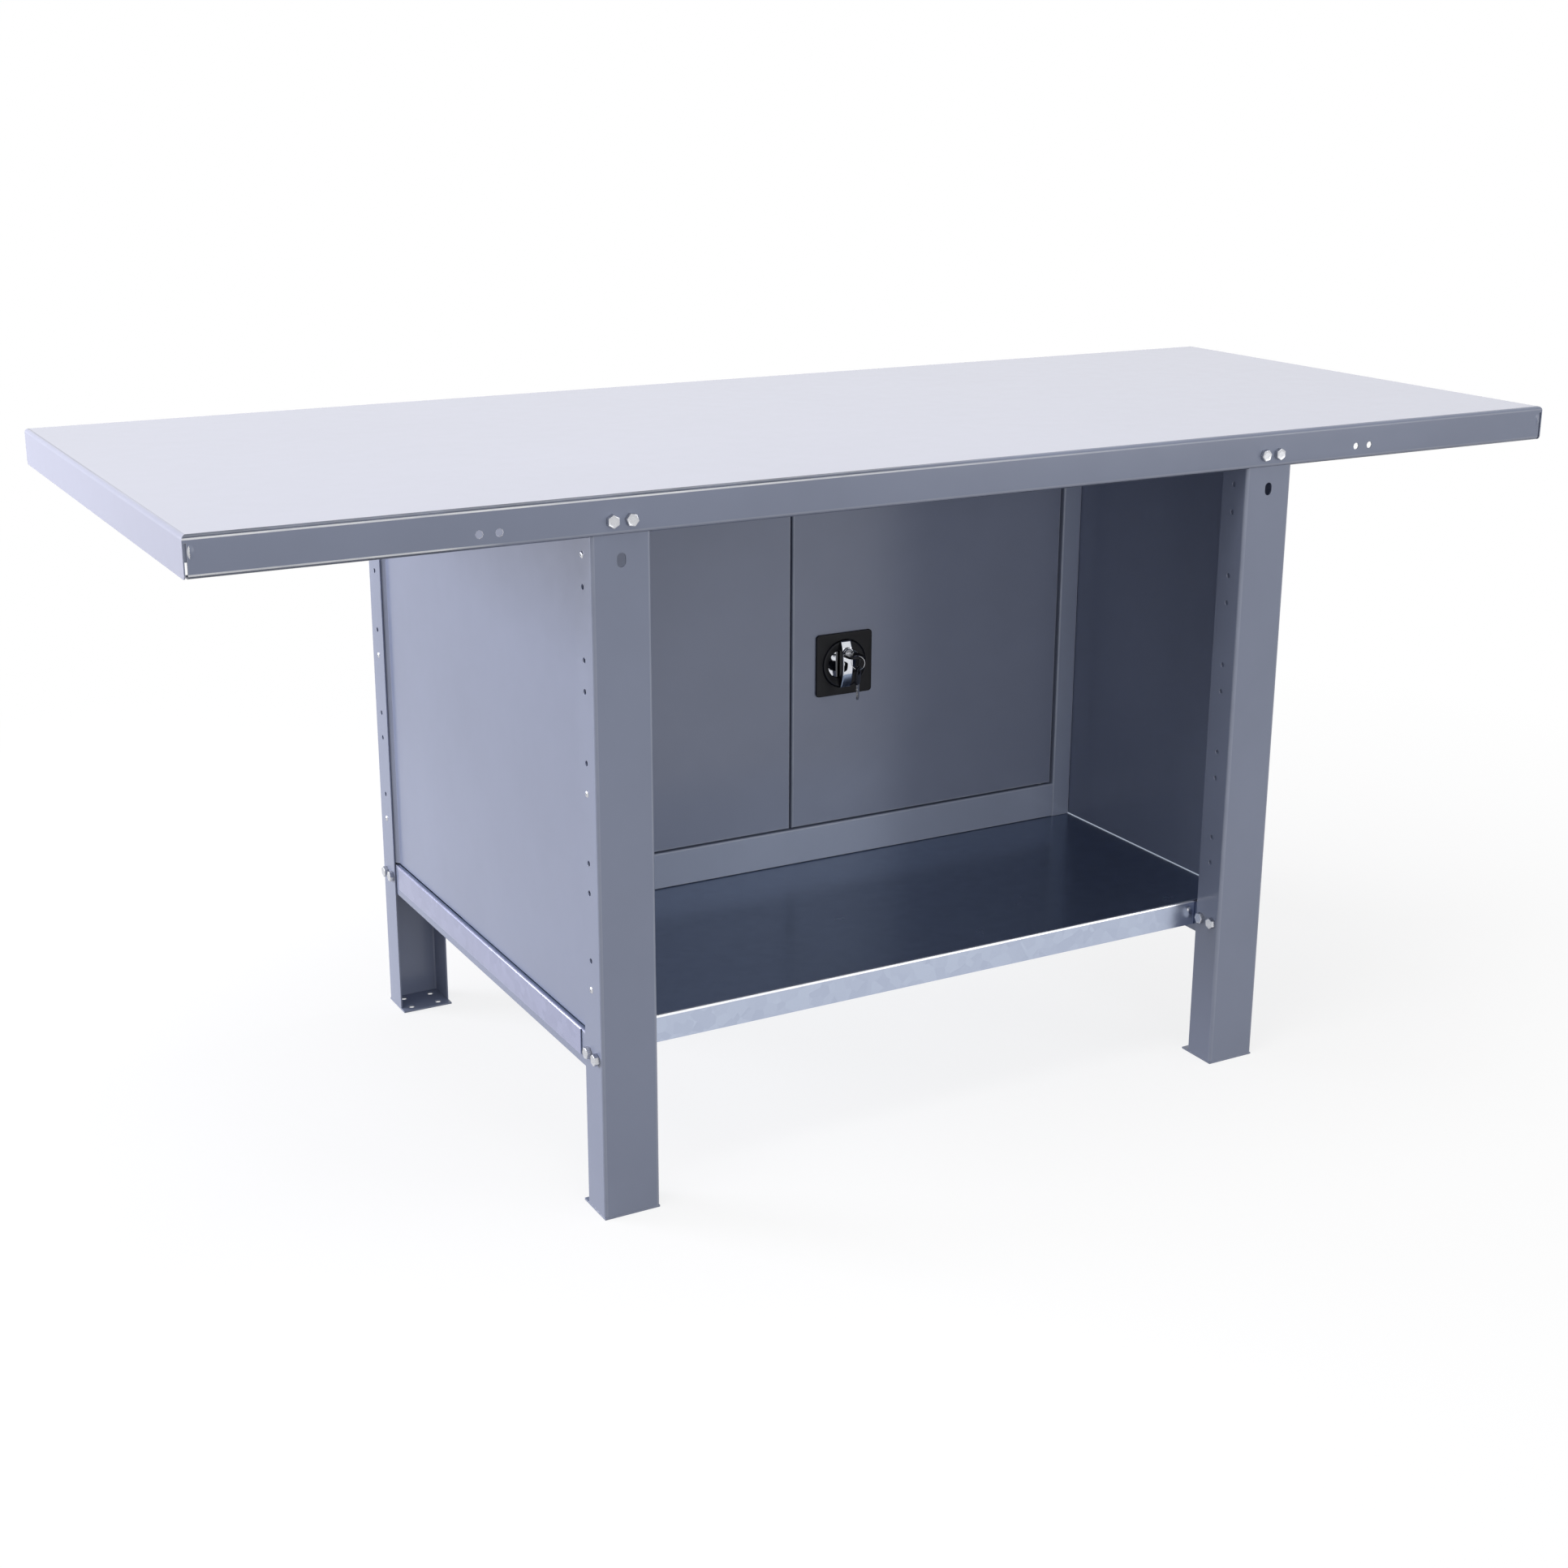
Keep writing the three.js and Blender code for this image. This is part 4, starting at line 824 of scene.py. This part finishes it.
make_piece("lock_grip", grip, "handle", [chrome, black], ["lock_handle"], grip_face)
plug = spun(PLUG_SECTION, 48)
plug.transform(PLUG_PLACE)
make_piece("lock_plug", plug, "key", [chrome], ["lock_cylinder"])
print("grip and plug")

# %% [markdown]
# ## Keys
# A key is a flat bow of black plastic on a steel blade. The bow is a rounded square bridged to its
# slot, and the blade is a narrow grid whose edge is nicked. One key is in the lock.

# %% Key in the lock
BOW, BOW_THICK, BOW_CORNER = 24.0, 3.0, 7.0
BOW_BAR = 2.4
SLOT_HALF_WIDTH, SLOT_HALF_HEIGHT, SLOT_CORNER = 7.5, 3.75, 3.6
BLADE_HALF_WIDTH, BLADE_THICK, BLADE_OVERLAP = 4.0, 2.2, 2.0
BLADE_ROWS = 10
NICKS = {2: 1.8, 4: 0.8, 5: 1.8, 7: 0.8}
PLASTIC_BOW, STEEL_BLADE = 0, 1


def key_mesh(bow_start, tip):
    bm = bmesh.new()
    rounded_outline(bm, BOW / 2, BOW / 2, BOW_CORNER, 6)
    rounded_outline(bm, SLOT_HALF_WIDTH, SLOT_HALF_HEIGHT, SLOT_CORNER, 6,
                    BOW / 2 - BOW_BAR - SLOT_HALF_HEIGHT)
    fill_between(bm)
    pull(bm, list(bm.faces), BOW_THICK)
    bmesh.ops.translate(bm, verts=bm.verts, vec=(0, bow_start + BOW / 2, -BOW_THICK / 2))
    bmesh.ops.recalc_face_normals(bm, faces=bm.faces)
    soften(bm, sharp_edges(bm), 0.6, 2)
    bow_faces = set(bm.faces)
    blade = bmesh.ops.create_grid(bm, x_segments=1, y_segments=BLADE_ROWS, size=1.0)["verts"]
    reach = (bow_start + BLADE_OVERLAP - tip) / 2
    bmesh.ops.scale(bm, verts=blade, vec=(BLADE_HALF_WIDTH, reach, 1))
    bmesh.ops.translate(bm, verts=blade, vec=(0, tip + reach, -BLADE_THICK / 2))
    for vert in blade:
        row = round((vert.co.y - tip) / (2 * reach) * BLADE_ROWS)
        if vert.co.x > 0:
            vert.co.x -= NICKS.get(row, 0.0)
        if row == 0:
            vert.co.x *= 0.6
    pull(bm, [f for f in bm.faces if f not in bow_faces], BLADE_THICK)
    blade_faces = [f for f in bm.faces if f not in bow_faces]
    bmesh.ops.recalc_face_normals(bm, faces=blade_faces)
    for face in bm.faces:
        face.material_index = PLASTIC_BOW if face in bow_faces else STEEL_BLADE
    return bm


key = key_mesh(16.4, 7.0)
key.transform(at(80, 55, 510) @ Matrix.Rotation(math.pi, 4, "X") @ IN_MM)
make_piece("key_in_lock", key, "key", [black, steel], ["key"])
print("key")

# %% [markdown]
# ### Ring and spare key
# The ring is two turns of wire, made by spinning a small circle while it climbs. It hangs in the
# slot of the key's bow, and the spare key hangs on the ring by its own bow.

# %% Ring and spare key
RING_RADIUS, WIRE_RADIUS = 9.4, 0.45
RING_CLIMB, RING_STEPS = 0.88, 112
HANGING_PLAY = 0.3
SPARE_BLADE = 21.0
BUNCH_PLACE = (PLUG_PLACE @ Matrix.Translation((0, 0, 39.2))
               @ Matrix.Rotation(math.radians(135), 4, "Y"))
RING_DROP = BOW_THICK / 2 + HANGING_PLAY + 2 * WIRE_RADIUS - RING_RADIUS

coil = bmesh.new()
wire = bmesh.ops.create_circle(coil, cap_ends=True, segments=10, radius=WIRE_RADIUS)["verts"]
bmesh.ops.rotate(coil, verts=wire, cent=(0, 0, 0), matrix=Matrix.Rotation(math.pi / 2, 3, "X"))
bmesh.ops.translate(coil, verts=wire, vec=(RING_RADIUS, 0, -RING_CLIMB / 2))
bmesh.ops.spin(coil, geom=list(coil.verts) + list(coil.edges) + list(coil.faces), cent=(0, 0, 0),
               axis=(0, 0, 1), angle=4 * math.pi, steps=RING_STEPS,
               dvec=(0, 0, RING_CLIMB / RING_STEPS))
bmesh.ops.remove_doubles(coil, verts=coil.verts, dist=0.001)
bmesh.ops.recalc_face_normals(coil, faces=coil.faces)
coil.transform(BUNCH_PLACE @ Matrix.Translation((0, RING_DROP, 0)))
make_piece("key_ring_wire", coil, "key_bunch", [bright_wire], ["key_ring"])

spare_start = RING_DROP - RING_RADIUS + 2 * WIRE_RADIUS + HANGING_PLAY + BOW_BAR - BOW
spare = key_mesh(spare_start, spare_start - SPARE_BLADE)
spare.transform(BUNCH_PLACE @ Matrix.Rotation(math.pi / 2, 4, "Y"))
make_piece("spare_key_hanging", spare, "key_bunch", [black, steel], ["spare_key"])
print("ring and spare key")

# %% [markdown]
# ## Works behind the door and hinge pins
# The cam, the two rods and the hinge pins show when the doors stand open. They are simple steel
# pieces, so the frame's solids serve, with their edges rounded.

# %% Cam, rods and pins
dressed("lock_cam", "handle", [steel])
for level in ("upper", "lower"):
    dressed("lock_rod_" + level, level + "_rod", [bolt_zinc])
for side in SIDES:
    for level in ("lower", "upper"):
        dressed(f"hinge_pin_{side}_{level}", "bench", [bolt_zinc])
print("works dressed")

# %% [markdown]
# ## Lamps
# Soft lamps stand round the bench, as in a product studio: over it, at its left and in front, and a
# weaker one fills from the right. The one in front is kept out of reflections, or the worktop would
# mirror it as a white patch when seen from behind.

# %% Lamps
def soft_lamp(name, place, target, width, depth, power, colour=(1, 1, 1)):
    data = bpy.data.lights.new(name, "AREA")
    data.shape = "RECTANGLE"
    data.size = width
    data.size_y = depth
    data.energy = power
    data.color = colour
    lamp = bpy.data.objects.new(name, data)
    lamp.location = place
    aim = Vector(target) - Vector(place)
    lamp.rotation_euler = aim.to_track_quat("-Z", "Y").to_euler()
    lamp.visible_camera = False
    bpy.context.scene.collection.objects.link(lamp)
    return lamp


soft_lamp("key_lamp", (-2.2, -0.2, 3.4), (0, 0, 0.6), 2.5, 2.5, 36)
soft_lamp("over_lamp", (0.2, -0.3, 3.6), (0, 0, 0.8), 4.0, 0.6, 34)
soft_lamp("left_lamp", (-3.5, 2.5, 0.95), (-0.5, 0, 0.5), 1.8, 1.6, 136, (0.96, 0.97, 1.10))
front_lamp = soft_lamp("front_lamp", (-0.5, -5.0, 0.9), (0, 0, 0.5), 2.0, 1.4, 41)
front_lamp.visible_glossy = False
soft_lamp("right_lamp", (3.0, -4.0, 1.2), (0.3, 0, 0.5), 1.6, 1.6, 24)
print("lamps hung")

# %% [markdown]
# ## Floor and sky
# The floor and the sky look white to the camera and to reflections, but give the object only a plain
# share of light, so colours render about as written. Near the bench the floor also catches a soft
# shadow, which fades out with distance.

# %% Floor and sky
WHITE = (1, 1, 1, 1)
SKY_LIGHT = 0.34
FLOOR_LIGHT, SHADOW_CATCH = (0.32, 0.32, 0.33, 1), (0.24, 0.24, 0.24, 1)
FLOOR_GLOW = 0.80
FADE_FROM, FADE_TO = 0.9, 2.2
FLOOR_HALF = 14.0


def mix_shader(tree, share, first, second):
    node = tree.nodes.new("ShaderNodeMixShader")
    for socket, value in zip(node.inputs, (share, first, second)):
        tree.links.new(value, socket)
    return node.outputs[0]


def pale_stage(tree, out, low, bright):
    path = tree.nodes.new("ShaderNodeLightPath")
    seen = math_node(tree, "MAXIMUM", path.outputs["Is Camera Ray"], path.outputs["Is Glossy Ray"])
    seen = math_node(tree, "MAXIMUM", seen, path.outputs["Is Transmission Ray"])
    tree.links.new(mix_shader(tree, seen, low, bright), out)


world = bpy.data.worlds.new("studio")
bpy.context.scene.world = world
world.use_nodes = True
sky = world.node_tree
sky.nodes.clear()
dim = add_node(sky, "ShaderNodeBackground", Color=WHITE, Strength=SKY_LIGHT)
white = add_node(sky, "ShaderNodeBackground", Color=WHITE, Strength=1.0)
pale_stage(sky, sky.nodes.new("ShaderNodeOutputWorld").inputs["Surface"],
           dim.outputs[0], white.outputs[0])

floor_material = bpy.data.materials.new("studio_floor")
floor_material.use_nodes = True
ground = floor_material.node_tree
ground.nodes.clear()
matte = add_node(ground, "ShaderNodeBsdfDiffuse", Color=FLOOR_LIGHT)
catch = add_node(ground, "ShaderNodeBsdfDiffuse", Color=SHADOW_CATCH)
glow = add_node(ground, "ShaderNodeEmission", Color=WHITE, Strength=FLOOR_GLOW)
plain = add_node(ground, "ShaderNodeEmission", Color=WHITE, Strength=1.0)
both = ground.nodes.new("ShaderNodeAddShader")
ground.links.new(catch.outputs[0], both.inputs[0])
ground.links.new(glow.outputs[0], both.inputs[1])
spot = ground.nodes.new("ShaderNodeTexCoord").outputs["Object"]
reach = add_node(ground, "ShaderNodeVectorMath", {"operation": "LENGTH"})
ground.links.new(spot, reach.inputs[0])
fade = mix_shader(ground, ramp(ground, reach.outputs["Value"], FADE_FROM, FADE_TO),
                  both.outputs[0], plain.outputs[0])
pale_stage(ground, ground.nodes.new("ShaderNodeOutputMaterial").inputs["Surface"],
           matte.outputs[0], fade)

ground_plane = bmesh.new()
bmesh.ops.create_grid(ground_plane, x_segments=1, y_segments=1, size=FLOOR_HALF)
floor_mesh = bpy.data.meshes.new("floor")
ground_plane.to_mesh(floor_mesh)
ground_plane.free()
floor_mesh.materials.append(floor_material)
floor = bpy.data.objects.new("floor", floor_mesh)
bpy.context.scene.collection.objects.link(floor)
bpy.context.scene.view_settings.view_transform = "Standard"
print("stage set")
